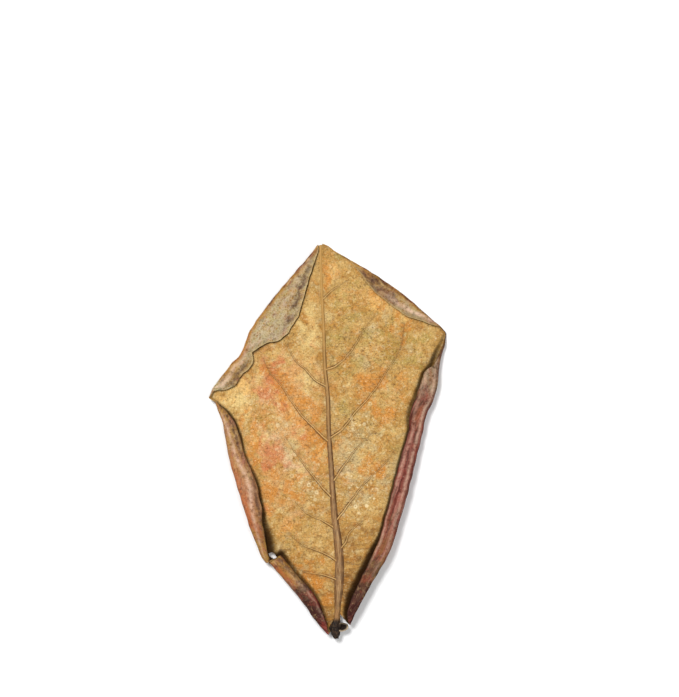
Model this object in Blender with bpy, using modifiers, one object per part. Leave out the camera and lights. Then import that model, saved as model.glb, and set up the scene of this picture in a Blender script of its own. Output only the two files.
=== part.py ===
"""A dried Indian almond leaf, lying flat with its veined underside up and its margins curled over it.

Frame: metres, +Z up, tip towards +Y, stalk towards -Y. The origin is under the middle of the leaf,
on the surface that it lies on. The outline is drawn in millimetres from the foot of the midrib, and
the finished leaf is moved to the origin at the end.
"""
import math

import bmesh
import bpy
import numpy as np
from mathutils import Matrix

MM = 0.001

# Driving dimensions, in millimetres
BLADE = 0.6
TUBE_TIGHTNESS = 0.1
FLAP_TIGHTNESS = 0.02
FLAP_TURN = math.radians(183)
TUBE_TURN = math.radians(900)
TUBE_HEIGHT = 0.75
FULL_HEIGHT_RADIUS = 1.5
LOW_TUBE_RADIUS = 3.0
VEIN_RADIUS = 0.45
VEIN_END_SHARE = 0.65
VEIN_POINT_SPACING = 5.0
VEIN_ROUNDNESS = 1
STALK_RADIUS = 1.7
STALK_ROUNDNESS = 3
COLOUR = (0.55, 0.36, 0.15, 1.0)
SHARP_ANGLE = math.radians(40)
MERGE_DISTANCE = 0.000001

# Three places round the leaf's weight that it rests on. The lower face is level between them, and
# from there it rises in a rippled dish, more slowly along the leaf than across it.
FEET = ((-27.2, 99.95), (-10.9, 54.3), (24.7, 103.5))
FEET_BOW = 2.5
FEET_SLACK = 0.2
DISH_STRETCH = 0.4
DISH_REACH = 14.0
DISH_POWER = 1.75
DISH_RISE = 0.8
DISH_RIPPLE = 0.3
RIPPLE_LENGTHS = (12.0, 17.0)
RIPPLE_STARTS = (1.3, -0.4)

# The grid that the blade is bent from: rows run from foot to tip, columns from margin to margin
ROWS = 55
RIB_STEPS = (0.0, 0.5, 1.0, 1.4)
RIB_PROFILE = (1.0, 0.78, 0.3, 0.0)
RIB_LARGEST_SHARE = 0.35
FACE_COLUMNS = 5
ROLL_COLUMNS = 12
FINE_STEPS = 16

# The midrib: place x, y, half width and height above the blade
MIDRIB = (
    (0.0, 0.6, 1.9, 1.7),
    (0.9, 23.9, 1.6, 1.5),
    (-1.6, 47.3, 1.4, 1.3),
    (-2.9, 66.9, 1.2, 1.1),
    (-4.1, 85.2, 1.0, 0.95),
    (-4.5, 100.0, 0.95, 0.85),
    (-5.8, 113.7, 0.85, 0.75),
    (-6.5, 133.9, 0.7, 0.6),
    (-7.3, 149.3, 0.6, 0.5),
    (-8.0, 171.7, 0.5, 0.3),
)

# The folded margin, foot to tip, in stretches that meet at corners. Each has its outline x, y, the
# curl at distances along it (distance, curl radius, width of leaf taken up in the curl), the first
# and last row that it fills, and whether it is curled into a tube or folded over as a flap.
LEFT_FOOT = {
    "outline": ((-4.1, -10.5), (-6.7, -8.0), (-12.8, 1.2), (-19.9, 10.3), (-25.5, 16.6), (-31.1, 22.8)),
    "curl": ((0, 1.5, 3.6), (4.0, 1.9, 6.0), (8.0, 2.4, 9.5), (12.0, 2.8, 13.0), (43.5, 3.3, 16.0)),
    "rows": (0, 11),
    "tube": True,
}
LEFT_TUBE = {
    "outline": (
        (-33.6, 22.9), (-35.2, 25.2), (-37.6, 31.1), (-42.2, 43.1), (-45.6, 56.3), (-51.0, 73.9),
        (-53.9, 88.9), (-57.2, 97.8),
    ),
    "curl": (
        (0, 1.8, 7.0), (2.6, 2.4, 11.0), (9.2, 3.1, 14.5), (22.0, 5.0, 24.0), (36.0, 5.7, 28.0),
        (54.0, 4.9, 24.0), (69.4, 4.1, 18.0), (74.5, 3.0, 10.0), (78.9, 1.8, 4.5),
    ),
    "rows": (12, 31),
    "tube": True,
}
LEFT_FLAP = {
    "outline": (
        (-60.3, 100.2), (-58.3, 104.7), (-54.2, 110.3), (-49.6, 116.3), (-45.6, 120.4), (-44.0, 124.0),
        (-41.0, 131.5), (-35.9, 139.2), (-29.8, 147.3), (-22.7, 155.9), (-15.6, 164.0), (-9.2, 171.7),
    ),
    "curl": (
        (0, 1.2, 2.3), (3.9, 1.25, 3.6), (7.8, 1.3, 8.0), (11.8, 1.3, 10.0), (25.1, 1.3, 10.1),
        (29.0, 1.3, 8.2), (37.1, 1.3, 12.5), (42.0, 1.3, 17.0), (46.3, 1.3, 18.1), (56.5, 1.3, 17.3),
        (67.6, 1.3, 12.3), (78.4, 1.3, 8.1), (84.0, 1.2, 2.6), (89.0, 1.1, 0.8),
    ),
    "rows": (32, 55),
    "tube": False,
}
RIGHT_TUBE = {
    "outline": (
        (6.0, -5.9), (8.1, -1.4), (10.6, 3.7), (14.1, 10.3), (18.2, 17.4), (21.7, 23.0), (24.3, 28.1),
        (27.3, 36.2), (29.3, 43.1), (33.1, 56.3), (36.9, 71.8), (39.8, 83.5), (41.5, 91.9),
        (45.2, 100.2), (47.3, 108.6), (47.5, 113.6), (48.5, 118.7), (50.5, 125.8), (50.9, 129.4),
    ),
    "curl": (
        (0, 1.2, 2.4), (4.9, 2.7, 10.0), (10.6, 3.4, 14.5), (18.0, 3.7, 17.5), (33.0, 4.4, 22.0),
        (54.0, 4.5, 23.0), (84.0, 4.8, 25.0), (96.0, 4.4, 22.5), (114.0, 5.4, 24.0), (121.0, 5.2, 22.0),
        (124.5, 4.1, 12.0), (132.7, 3.3, 7.0), (140.0, 2.2, 3.5), (144.0, 1.1, 1.2),
    ),
    "rows": (0, 35),
    "tube": True,
}
RIGHT_FLAP = {
    "outline": (
        (50.5, 131.2), (48.0, 133.8), (43.0, 138.0), (32.8, 147.1), (21.6, 155.2), (11.0, 161.9),
        (4.4, 165.7), (-1.4, 169.1), (-4.4, 171.3), (-6.9, 172.5),
    ),
    "curl": (
        (0, 1.1, 1.3), (5.6, 1.3, 4.2), (11.0, 1.3, 6.0), (18.3, 1.3, 9.6), (27.6, 1.3, 10.3),
        (34.6, 1.3, 10.2), (41.0, 1.3, 9.0), (45.4, 1.3, 6.0), (49.1, 1.3, 3.6), (52.9, 1.2, 2.4),
        (56.7, 1.2, 1.5), (60.4, 1.1, 0.9), (71.5, 1.1, 0.8),
    ),
    "rows": (36, 55),
    "tube": False,
}
LEFT = (LEFT_FOOT, LEFT_TUBE, LEFT_FLAP)
RIGHT = (RIGHT_TUBE, RIGHT_FLAP)

# The tear between the left foot and the left tube: rows and outermost columns that are missing
TEAR_ROWS = (11, 12)
TEAR_COLUMNS = ROLL_COLUMNS + 1

# The side veins that stand up from the blade, x, y from the midrib outwards
SIDE_VEINS = (
    ((1.0, 28.5), (3.5, 32.1), (5.5, 36.7), (8.6, 40.2), (14.6, 44.3)),
    ((-0.9, 42.2), (3.8, 48.4), (11.0, 58.0), (17.2, 64.7), (23.5, 70.9), (26.8, 75.6)),
    ((-2.1, 60.8), (1.8, 66.8), (8.8, 76.0), (13.9, 81.4), (17.2, 84.8)),
    ((-3.6, 81.3), (0.9, 84.3), (8.0, 92.7), (16.4, 102.7), (22.7, 112.1), (29.3, 122.8), (31.2, 135.0)),
    ((-5.6, 113.2), (-0.2, 115.6), (6.4, 122.2), (12.5, 131.9), (17.6, 139.5)),
    ((-7.1, 146.2), (-3.7, 149.6), (4.4, 154.9)),
    ((0.6, 14.8), (-7.2, 17.4), (-14.8, 18.4), (-19.9, 21.0)),
    ((0.5, 23.4), (-5.7, 27.1), (-15.8, 31.1), (-22.9, 36.2)),
    ((-1.0, 38.6), (-7.2, 42.8), (-12.3, 44.8), (-19.9, 51.5)),
    ((-2.2, 53.2), (-8.8, 60.1), (-15.0, 68.0), (-19.2, 73.9), (-24.2, 81.4)),
    ((-4.0, 79.3), (-9.2, 84.3), (-18.5, 94.1), (-26.9, 106.7), (-31.6, 112.3), (-35.0, 118.8)),
    ((-4.8, 105.2), (-10.5, 108.7), (-15.6, 113.8), (-20.2, 118.4), (-24.8, 127.5)),
)

# The stalk, x, y and share of its radius, and the cupped scar at its end
STALK = ((0.3, 9.0, 0.55), (0.0, 0.0, 1.0), (-0.3, -5.5, 0.95), (-0.6, -9.0, 1.05), (-0.9, -12.6, 0.85))
STALK_LIFT = 0.9
SCAR_CENTRE = (1.5, -8.0)
SCAR_REACH = (2.9, 1.9, 1.6)
SCAR_TURN = math.radians(12)
SCAR_SIDES = (14, 8)
SCAR_HOLLOW = 0.66
HOLLOW_REACH = 0.8
HOLLOW_LOWEST = 0.1


def beyond_feet(x, y):
    """How far each place lies outside the level spot: the triangle of the feet, its sides bowed in."""
    across, lengthwise = x, y * DISH_STRETCH
    feet = np.array(FEET) * (1.0, DISH_STRETCH)
    furthest = np.full(np.shape(x), -np.inf)
    for start, end in zip(feet, np.roll(feet, -1, axis=0)):
        side = end - start
        length = np.linalg.norm(side)
        east, north = across - start[0], lengthwise - start[1]
        share = (east * side[0] + north * side[1]) / length**2
        outside = (east * side[1] - north * side[0]) / length
        bow = FEET_BOW * np.maximum(4.0 * share * (1.0 - share), 0.0)
        furthest = np.maximum(furthest, outside + bow)
    return np.maximum(furthest - FEET_SLACK, 0.0)


def lie(x, y):
    """Height of the leaf's lower face: level between its feet, rising in a shallow dish round them."""
    wave_x = np.sin(x / RIPPLE_LENGTHS[0] + RIPPLE_STARTS[0])
    wave_y = np.cos(y / RIPPLE_LENGTHS[1] + RIPPLE_STARTS[1])
    ripple = 1.0 + DISH_RIPPLE * wave_x * wave_y
    return DISH_RISE * (beyond_feet(x, y) / DISH_REACH) ** DISH_POWER * ripple


def along(points, count):
    """Evenly spaced places on the smooth curve through the points, its directions and distances."""
    points = np.array(points, dtype=float)
    knots = np.concatenate(([0.0], np.cumsum(np.linalg.norm(np.diff(points, axis=0), axis=1))))
    slopes = np.gradient(points, knots, axis=0)
    where = np.linspace(0.0, knots[-1], count)
    span = np.clip(np.searchsorted(knots, where, side="right") - 1, 0, len(knots) - 2)
    length = (knots[span + 1] - knots[span])[:, None]
    t = (where - knots[span])[:, None] / length
    places = (
        (2 * t**3 - 3 * t**2 + 1) * points[span]
        + (t**3 - 2 * t**2 + t) * length * slopes[span]
        + (3 * t**2 - 2 * t**3) * points[span + 1]
        + (t**3 - t**2) * length * slopes[span + 1]
    )
    heading = np.gradient(places, where, axis=0)
    return places, heading / np.linalg.norm(heading, axis=1)[:, None], where


def side_margin(stretches, outward):
    """Outline, outward direction, curl radius, curled width and whether a tube, for each row.

    outward is -1 on the left half and 1 on the right: the outward direction is the outline's own
    direction turned a quarter turn to that side.
    """
    rows = ROWS + 1
    place, normal = np.zeros((rows, 2)), np.zeros((rows, 2))
    radius, width, tube = np.zeros(rows), np.zeros(rows), np.zeros(rows, dtype=bool)
    for stretch in stretches:
        first, last = stretch["rows"]
        here = slice(first, last + 1)
        place[here], heading, distance = along(stretch["outline"], last - first + 1)
        normal[here] = outward * np.column_stack((heading[:, 1], -heading[:, 0]))
        curl = np.array(stretch["curl"], dtype=float)
        radius[here] = np.interp(distance, curl[:, 0], curl[:, 1])
        width[here] = np.interp(distance, curl[:, 0], curl[:, 2])
        tube[here] = stretch["tube"]
    return place, normal, radius, width, tube


def curl_profile(radius, width, tube):
    """Sideways and upward travel across the curl, one row for each radius.

    The heading of a spiral whose radius shrinks steadily with the distance d travelled along it is
    -ln(1 - tightness d / radius) / tightness, and its place is that heading summed up. A flap stops
    turning when it has folded right over, and runs on flat. A wide tube is pressed a little flat.
    """
    steps = ROLL_COLUMNS * FINE_STEPS
    tightness = np.where(tube, TUBE_TIGHTNESS, FLAP_TIGHTNESS)[:, None]
    limit = np.where(tube, TUBE_TURN, FLAP_TURN)[:, None]
    middle = (np.arange(steps) + 0.5) / steps
    distance = width[:, None] * middle
    heading = -np.log(1.0 - tightness * distance / radius[:, None]) / tightness
    heading = np.minimum(heading, limit)
    step = width[:, None] / steps
    out = np.cumsum(np.cos(heading) * step, axis=1)
    up = np.cumsum(np.sin(heading) * step, axis=1)
    wide = np.interp(radius, (FULL_HEIGHT_RADIUS, LOW_TUBE_RADIUS), (0.0, 1.0))
    squash = 1.0 - (1.0 - TUBE_HEIGHT) * tube * wide
    reach = np.maximum(out.max(axis=1), 0.0)
    pick = np.arange(FINE_STEPS - 1, steps, FINE_STEPS)
    return out[:, pick], up[:, pick] * squash[:, None], reach


def half_blade(stretches, outward):
    """The half blade's lower surface, rows by columns from the midrib to the free edge."""
    place, normal, radius, width, tube = side_margin(stretches, outward)
    out, up, reach = curl_profile(radius, width, tube)
    crease = place - normal * reach[:, None]
    rib = np.array(MIDRIB)
    foot, _, _ = along(rib[:, :2], ROWS + 1)
    half_width = np.interp(foot[:, 1], rib[:, 1], rib[:, 2])
    span = np.linalg.norm(crease - foot, axis=1)
    rib_share = np.minimum(half_width / span, RIB_LARGEST_SHARE)
    near = rib_share[:, None] * np.array(RIB_STEPS)
    rest = np.linspace(0.0, 1.0, FACE_COLUMNS + 1)[1:]
    far = near[:, -1:] + (1.0 - near[:, -1:]) * rest
    share = np.concatenate((near, far), axis=1)
    flat = foot[:, None, :] + (crease - foot)[:, None, :] * share[:, :, None]
    curled = crease[:, None, :] + normal[:, None, :] * out[:, :, None]
    plan = np.concatenate((flat, curled), axis=1)
    height = np.concatenate((np.zeros(share.shape), up), axis=1)
    return np.dstack((plan, height + lie(plan[:, :, 0], plan[:, :, 1])))


def thickness_shares(thickest):
    """Thickness of each grid point as a share of the thickest, which is the foot of the midrib."""
    rib = np.array(MIDRIB)
    foot, _, _ = along(rib[:, :2], ROWS + 1)
    ridge = np.interp(foot[:, 1], rib[:, 1], rib[:, 3])
    half = np.full((ROWS + 1, len(RIB_STEPS) + FACE_COLUMNS + ROLL_COLUMNS), BLADE)
    half[:, : len(RIB_STEPS)] += ridge[:, None] * np.array(RIB_PROFILE)
    return np.concatenate((half[:, :0:-1], half), axis=1) / thickest


def new_object(name, mesh, collection):
    """An object for the mesh, in the collection."""
    item = bpy.data.objects.new(name, mesh)
    collection.objects.link(item)
    return item


def applied(item):
    """The object with its modifiers applied and its doubles merged, in place."""
    bpy.context.view_layer.update()
    shape = item.evaluated_get(bpy.context.evaluated_depsgraph_get())
    mesh = bpy.data.meshes.new_from_object(shape)
    collection = item.users_collection[0]
    name, material = item.name, item.active_material
    bpy.data.objects.remove(item)
    bm = bmesh.new()
    bm.from_mesh(mesh)
    bmesh.ops.remove_doubles(bm, verts=bm.verts, dist=MERGE_DISTANCE)
    bm.to_mesh(mesh)
    bm.free()
    done = new_object(name, mesh, collection)
    if material and not mesh.materials:
        mesh.materials.append(material)
    return done


def make_blade(collection):
    """The blade: a flat grid bent to the folded leaf, given its thickness upwards by Solidify."""
    left = half_blade(LEFT, -1)
    right = half_blade(RIGHT, 1)
    surface = np.concatenate((left[:, :0:-1], right), axis=1)
    columns = surface.shape[1] - 1
    thickest = BLADE + MIDRIB[0][3]
    share = thickness_shares(thickest)

    bm = bmesh.new()
    bmesh.ops.create_grid(bm, x_segments=columns, y_segments=ROWS, size=1.0)
    row = [round((v.co.y + 1.0) / 2.0 * ROWS) for v in bm.verts]
    column = [round((v.co.x + 1.0) / 2.0 * columns) for v in bm.verts]
    torn = [
        face
        for face in bm.faces
        if all(row[v.index] in TEAR_ROWS and column[v.index] <= TEAR_COLUMNS for v in face.verts)
    ]
    weights = [share[i, j] for i, j in zip(row, column)]
    group = bm.verts.layers.deform.new()
    for vert, i, j, weight in zip(bm.verts, row, column, weights):
        vert.co = surface[i, j] * MM
        vert[group][0] = weight
    bmesh.ops.delete(bm, geom=torn, context="FACES")
    bmesh.ops.triangulate(bm, faces=bm.faces, quad_method="SHORT_EDGE")
    mesh = bpy.data.meshes.new("blade")
    bm.to_mesh(mesh)
    bm.free()

    blade = new_object("blade", mesh, collection)
    blade.vertex_groups.new(name="thickness")
    solidify = blade.modifiers.new("thickness", "SOLIDIFY")
    solidify.thickness = thickest * MM
    solidify.offset = 1.0
    solidify.vertex_group = "thickness"
    return applied(blade)


def make_rod(name, points, radius, roundness, collection):
    """A round rod through the points, each x, y, z and its share of the radius, as a closed mesh."""
    curve = bpy.data.curves.new(name, "CURVE")
    curve.dimensions = "3D"
    curve.bevel_depth = radius * MM
    curve.bevel_resolution = roundness
    curve.use_fill_caps = True
    spline = curve.splines.new("POLY")
    spline.points.add(len(points) - 1)
    for point, (x, y, z, share) in zip(spline.points, points):
        point.co = (x * MM, y * MM, z * MM, 1.0)
        point.radius = share
    rod = bpy.data.objects.new(name, curve)
    collection.objects.link(rod)
    return applied(rod)


def make_side_veins(collection):
    """The raised side veins, half sunk in the blade's top face and thinner towards the margin."""
    for number, path in enumerate(SIDE_VEINS):
        length = np.linalg.norm(np.diff(path, axis=0), axis=1).sum()
        places, _, _ = along(path, round(length / VEIN_POINT_SPACING) + 1)
        fade = np.linspace(1.0, VEIN_END_SHARE, len(places))
        points = [(x, y, lie(x, y) + BLADE, share) for (x, y), share in zip(places, fade)]
        make_rod(f"side_vein_{number}", points, VEIN_RADIUS, VEIN_ROUNDNESS, collection)


def make_stalk(collection):
    """The stub of the leaf stalk, running out of the midrib."""
    points = [(x, y, lie(x, y) + STALK_LIFT, share) for x, y, share in STALK]
    make_rod("stalk", points, STALK_RADIUS, STALK_ROUNDNESS, collection)


def make_scar(collection):
    """The swollen end of the stalk beside its stub: a flattened ball with a hollow in its top."""
    x, y = SCAR_CENTRE
    centre = Matrix.Translation((x * MM, y * MM, (lie(x, y) + STALK_LIFT) * MM))
    turn = Matrix.Rotation(SCAR_TURN, 4, "Z")
    reach = Matrix.Diagonal([value * MM for value in SCAR_REACH] + [1.0])
    bm = bmesh.new()
    bmesh.ops.create_uvsphere(bm, u_segments=SCAR_SIDES[0], v_segments=SCAR_SIDES[1], radius=1.0)
    for vert in bm.verts:
        from_middle = math.hypot(vert.co.x, vert.co.y)
        if vert.co.z > HOLLOW_LOWEST and from_middle < HOLLOW_REACH:
            vert.co.z = SCAR_HOLLOW * from_middle**2
    bmesh.ops.transform(bm, matrix=centre @ turn @ reach, verts=bm.verts)
    mesh = bpy.data.meshes.new("stalk_scar")
    bm.to_mesh(mesh)
    bm.free()
    new_object("stalk_scar", mesh, collection)


def join(blade, collection):
    """One solid from the blade and all that grows on it."""
    union = blade.modifiers.new("grown together", "BOOLEAN")
    union.operation = "UNION"
    union.operand_type = "COLLECTION"
    union.collection = collection
    union.solver = "EXACT"
    leaf = applied(blade)
    for item in list(collection.objects):
        bpy.data.objects.remove(item)
    bpy.data.collections.remove(collection)
    return leaf


def settle(leaf):
    """Moves the leaf so that the origin is under its middle and its level spot is at height zero."""
    corners = np.array([tuple(v.co) for v in leaf.data.vertices])
    low, high = corners.min(axis=0), corners.max(axis=0)
    middle = (low + high) / 2.0
    leaf.data.transform(Matrix.Translation((-middle[0], -middle[1], -low[2])))


def dry_leaf_material():
    """Dull tan brown, as the dried leaf's underside."""
    material = bpy.data.materials.new("dry_leaf")
    material.use_nodes = True
    shader = material.node_tree.nodes["Principled BSDF"]
    shader.inputs["Base Color"].default_value = COLOUR
    shader.inputs["Roughness"].default_value = 0.7
    shader.inputs["Metallic"].default_value = 0.0
    return material


def main():
    """Builds the leaf in an empty scene."""
    for item in list(bpy.data.objects):
        bpy.data.objects.remove(item)
    collection = bpy.data.collections.new("indian_almond_leaf")
    grown = bpy.data.collections.new("grown on the blade")
    for made in (collection, grown):
        bpy.context.scene.collection.children.link(made)
    blade = make_blade(collection)
    make_side_veins(grown)
    make_stalk(grown)
    make_scar(grown)
    leaf = join(blade, grown)
    leaf.name = "leaf"
    leaf.data.name = "leaf"
    settle(leaf)
    leaf.data.materials.clear()
    leaf.data.materials.append(dry_leaf_material())
    leaf.data.shade_smooth()
    leaf.data.set_sharp_from_angle(angle=SHARP_ANGLE)


main()
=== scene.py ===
# %% [markdown]
# # A dried Indian almond leaf
#
# This lesson dresses one dried leaf. The leaf lies on its upper face, with its veined underside up.
# As it dried, its margins curled up and over it: long tubes on the lower left and on the right, and
# flat flaps on the upper left and the upper right. So the middle shows the tan underside, and the
# tubes and flaps show the maroon upper face.
#
# All shapes are worked out with numpy, in millimetres from the foot of the midrib, and each is
# moved into the frame as its mesh is made.

# %% Load the frame
import math

import bpy
import numpy as np
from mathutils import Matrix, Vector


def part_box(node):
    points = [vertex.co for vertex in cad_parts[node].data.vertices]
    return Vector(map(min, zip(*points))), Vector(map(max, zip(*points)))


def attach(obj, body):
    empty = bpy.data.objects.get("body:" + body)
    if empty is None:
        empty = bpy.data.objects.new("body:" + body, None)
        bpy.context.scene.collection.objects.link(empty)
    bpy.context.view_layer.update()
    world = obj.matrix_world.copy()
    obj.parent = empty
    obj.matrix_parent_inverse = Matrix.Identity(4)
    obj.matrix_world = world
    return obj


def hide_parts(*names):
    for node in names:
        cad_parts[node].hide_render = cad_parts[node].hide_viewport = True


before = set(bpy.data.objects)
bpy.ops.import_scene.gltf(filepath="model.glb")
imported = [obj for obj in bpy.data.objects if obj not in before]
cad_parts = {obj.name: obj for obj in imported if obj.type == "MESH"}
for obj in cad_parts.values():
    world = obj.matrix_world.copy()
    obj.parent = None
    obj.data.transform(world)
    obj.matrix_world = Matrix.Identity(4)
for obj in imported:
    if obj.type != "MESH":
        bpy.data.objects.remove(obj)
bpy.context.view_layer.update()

# %% [markdown]
# The solid leaf of the frame is the same leaf with few faces. Its left corner and its tip are the
# outline's own, so they say where the foot of the midrib lies in the frame.

# %% Units and the place of the midrib's foot
MM = 0.001
LEFTMOST = -60.3
TIPMOST = 172.5
low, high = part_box("leaf")
FOOT = np.array((low[0] - LEFTMOST * MM, high[1] - TIPMOST * MM, 0.0))
print("foot of the midrib at", FOOT.round(4))

# %% [markdown]
# ## The folded outline
#
# Each side is drawn in stretches from foot to tip that meet at sharp corners. A stretch has its
# outline, and the curl along it: distance, curl radius, and width of leaf taken up in the curl. A
# curve object could hold the outline, but a table can be asked for at any row, and the curl's
# numbers stand beside it. The rows are counted as in the solid, so the fine leaf follows it
# closely.

# %% The stretches of the two sides
ROWS = 55
LEFT_FOOT = {
    "outline": (
        (-4.3, -10.5), (-7.0, -8.0), (-13.6, 1.2), (-20.7, 10.3), (-26.2, 16.6), (-31.3, 22.8),
    ),
    "curl": (
        (0, 1.5, 3.6), (4.0, 2.2, 7.5), (8.0, 3.0, 12.5), (12.0, 3.8, 17.5), (20.0, 4.5, 21.5),
        (30.4, 4.2, 20.5), (38.3, 4.3, 21.0), (43.5, 4.3, 21.0),
    ),
    "rows": (0, 11),
    "tube": True,
}
LEFT_TUBE = {
    "outline": (
        (-33.6, 22.9), (-35.2, 25.2), (-37.6, 31.1), (-42.2, 43.1), (-46.1, 56.3), (-51.0, 73.9),
        (-53.9, 88.9), (-57.2, 97.8),
    ),
    "curl": (
        (0, 1.8, 7.0), (2.6, 2.4, 11.0), (9.2, 3.1, 14.5), (16.6, 4.2, 20.0), (26.0, 5.7, 28.0),
        (36.5, 6.3, 30.5), (46.5, 5.6, 27.5), (54.0, 4.9, 24.0), (62.0, 4.5, 21.5),
        (66.5, 4.0, 17.5), (70.6, 3.2, 13.0), (74.5, 2.2, 7.6), (77.0, 1.5, 4.4), (78.9, 1.1, 2.8),
    ),
    "rows": (12, 31),
    "tube": True,
}
LEFT_FLAP = {
    "outline": (
        (-60.3, 100.2), (-58.3, 104.7), (-54.2, 110.3), (-49.6, 116.3), (-45.6, 120.4),
        (-44.0, 124.0), (-41.0, 131.5), (-35.9, 139.2), (-29.8, 147.3), (-22.7, 155.9),
        (-15.6, 164.0), (-9.2, 171.7),
    ),
    "curl": (
        (0, 1.2, 2.3), (3.9, 1.25, 3.6), (7.8, 1.3, 8.0), (11.8, 1.3, 10.0), (25.1, 1.3, 10.1),
        (28.2, 1.2, 7.0), (31.0, 1.3, 9.2), (34.0, 1.3, 11.8), (37.1, 1.3, 14.2), (42.0, 1.3, 17.0),
        (46.3, 1.3, 18.1), (56.5, 1.3, 17.3), (67.6, 1.3, 12.3), (78.4, 1.2, 7.6), (84.0, 1.1, 5.2),
        (87.5, 1.0, 3.6), (89.0, 0.9, 1.2),
    ),
    "rows": (32, 55),
    "tube": False,
}
RIGHT_TUBE = {
    "outline": (
        (6.0, -5.9), (8.1, -1.4), (10.6, 3.7), (14.1, 10.3), (18.2, 17.4), (21.7, 23.0),
        (24.3, 28.1), (27.3, 36.2), (29.3, 43.1), (33.1, 56.3), (36.9, 71.8), (39.8, 83.5),
        (41.5, 91.9), (45.2, 100.2), (47.3, 108.6), (47.5, 113.6), (48.5, 118.7), (50.5, 125.8),
        (50.9, 129.4),
    ),
    "curl": (
        (0, 1.2, 2.4), (4.9, 2.7, 10.0), (10.6, 3.4, 14.5), (18.0, 3.7, 17.5), (33.0, 4.5, 22.5),
        (50.0, 4.75, 24.0), (64.0, 5.0, 25.5), (84.0, 4.9, 25.5), (96.0, 4.5, 23.0),
        (114.0, 5.9, 26.5), (121.0, 5.5, 23.5), (125.0, 4.9, 19.0), (128.5, 4.2, 11.5),
        (133.5, 3.3, 7.0), (140.0, 2.2, 3.5), (144.0, 1.1, 1.2),
    ),
    "rows": (0, 35),
    "tube": True,
}
RIGHT_FLAP = {
    "outline": (
        (50.5, 131.2), (48.0, 133.8), (43.0, 138.0), (32.8, 147.1), (21.6, 155.2), (11.0, 161.9),
        (4.4, 165.7), (-1.4, 169.1), (-4.4, 171.3), (-6.9, 172.5),
    ),
    "curl": (
        (0, 1.1, 1.3), (5.6, 1.3, 4.2), (11.0, 1.3, 6.0), (18.3, 1.3, 9.6), (27.6, 1.3, 10.3),
        (34.6, 1.2, 9.8), (41.0, 1.1, 8.4), (45.4, 0.9, 6.2), (49.1, 0.7, 4.4), (52.9, 0.6, 3.0),
        (56.7, 0.8, 1.8), (60.4, 1.1, 0.9), (71.5, 1.1, 0.8),
    ),
    "rows": (36, 55),
    "tube": False,
}
LEFT = (LEFT_FOOT, LEFT_TUBE, LEFT_FLAP)
RIGHT = (RIGHT_TUBE, RIGHT_FLAP)

# The midrib: place x, y, half width and height above the blade
MIDRIB = (
    (0.0, 0.6, 1.9, 1.7),
    (0.9, 23.9, 1.6, 1.5),
    (-1.6, 47.3, 1.4, 1.3),
    (-2.9, 66.9, 1.2, 1.1),
    (-4.1, 85.2, 1.0, 0.95),
    (-4.5, 100.0, 0.95, 0.85),
    (-5.8, 113.7, 0.85, 0.75),
    (-6.5, 133.9, 0.7, 0.6),
    (-7.3, 149.3, 0.6, 0.5),
    (-8.0, 171.7, 0.5, 0.3),
)

# The side veins, x, y from the midrib outwards, right side first
SIDE_VEINS = (
    ((1.0, 28.5), (3.5, 32.1), (5.5, 36.7), (8.6, 40.2), (14.6, 44.3)),
    ((-0.9, 42.2), (3.8, 48.4), (11.0, 58.0), (17.2, 64.7), (23.5, 70.9), (26.8, 75.6)),
    ((-2.1, 60.8), (1.8, 66.8), (8.8, 76.0), (13.9, 81.4), (17.2, 84.8)),
    (
        (-3.6, 81.3), (0.9, 84.3), (8.0, 92.7), (16.4, 102.7), (22.7, 112.1), (29.3, 122.8),
        (31.2, 135.0),
    ),
    ((-5.6, 113.2), (-0.2, 115.6), (6.4, 122.2), (12.5, 131.9), (17.6, 139.5)),
    ((-7.1, 146.2), (-3.7, 149.6), (4.4, 154.9)),
    ((0.6, 14.8), (-7.2, 17.4), (-14.8, 18.4), (-19.9, 21.0)),
    ((0.5, 23.4), (-5.7, 27.1), (-15.8, 31.1), (-22.9, 36.2)),
    ((-1.0, 38.6), (-7.2, 42.8), (-12.3, 44.8), (-19.9, 51.5)),
    ((-2.2, 53.2), (-8.8, 60.1), (-15.0, 68.0), (-19.2, 73.9), (-24.2, 81.4)),
    ((-4.0, 79.3), (-9.2, 84.3), (-18.5, 94.1), (-26.9, 106.7), (-31.6, 112.3), (-35.0, 118.8)),
    ((-4.8, 105.2), (-10.5, 108.7), (-15.6, 113.8), (-20.2, 118.4), (-24.8, 127.5)),
)
RIGHT_VEINS = 6
print("stretches", len(LEFT) + len(RIGHT), "side veins", len(SIDE_VEINS))

# %% [markdown]
# ## Small mathematical tools
#
# A smooth curve through a few points gives the outline. The blade's unrest could be a noise texture
# in a Displace modifier. A sum of sine waves with seeded directions is as even and natural, is the
# same on each run, and can be asked for at any place, so the veins can follow the blade that they
# stand on.

# %% Smooth curves and seeded waves
WAVE_PEAK = 1.8
FAR_AWAY = 1000.0


def along(points, count):
    """Evenly spaced places on a smooth curve, with its headings and the distances along it.

    Between two points the curve is the cubic that has the slope of its neighbours at both ends.
    """
    points = np.array(points, dtype=float)
    knots = np.concatenate(([0.0], np.cumsum(np.linalg.norm(np.diff(points, axis=0), axis=1))))
    slopes = np.gradient(points, knots, axis=0)
    where = np.linspace(0.0, knots[-1], count)
    span = np.clip(np.searchsorted(knots, where, side="right") - 1, 0, len(knots) - 2)
    length = (knots[span + 1] - knots[span])[:, None]
    t = (where - knots[span])[:, None] / length
    places = (
        (2 * t**3 - 3 * t**2 + 1) * points[span]
        + (t**3 - 2 * t**2 + t) * length * slopes[span]
        + (3 * t**2 - 2 * t**3) * points[span + 1]
        + (t**3 - t**2) * length * slopes[span + 1]
    )
    heading = np.gradient(places, where, axis=0)
    return places, heading / np.linalg.norm(heading, axis=1)[:, None], where


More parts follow.
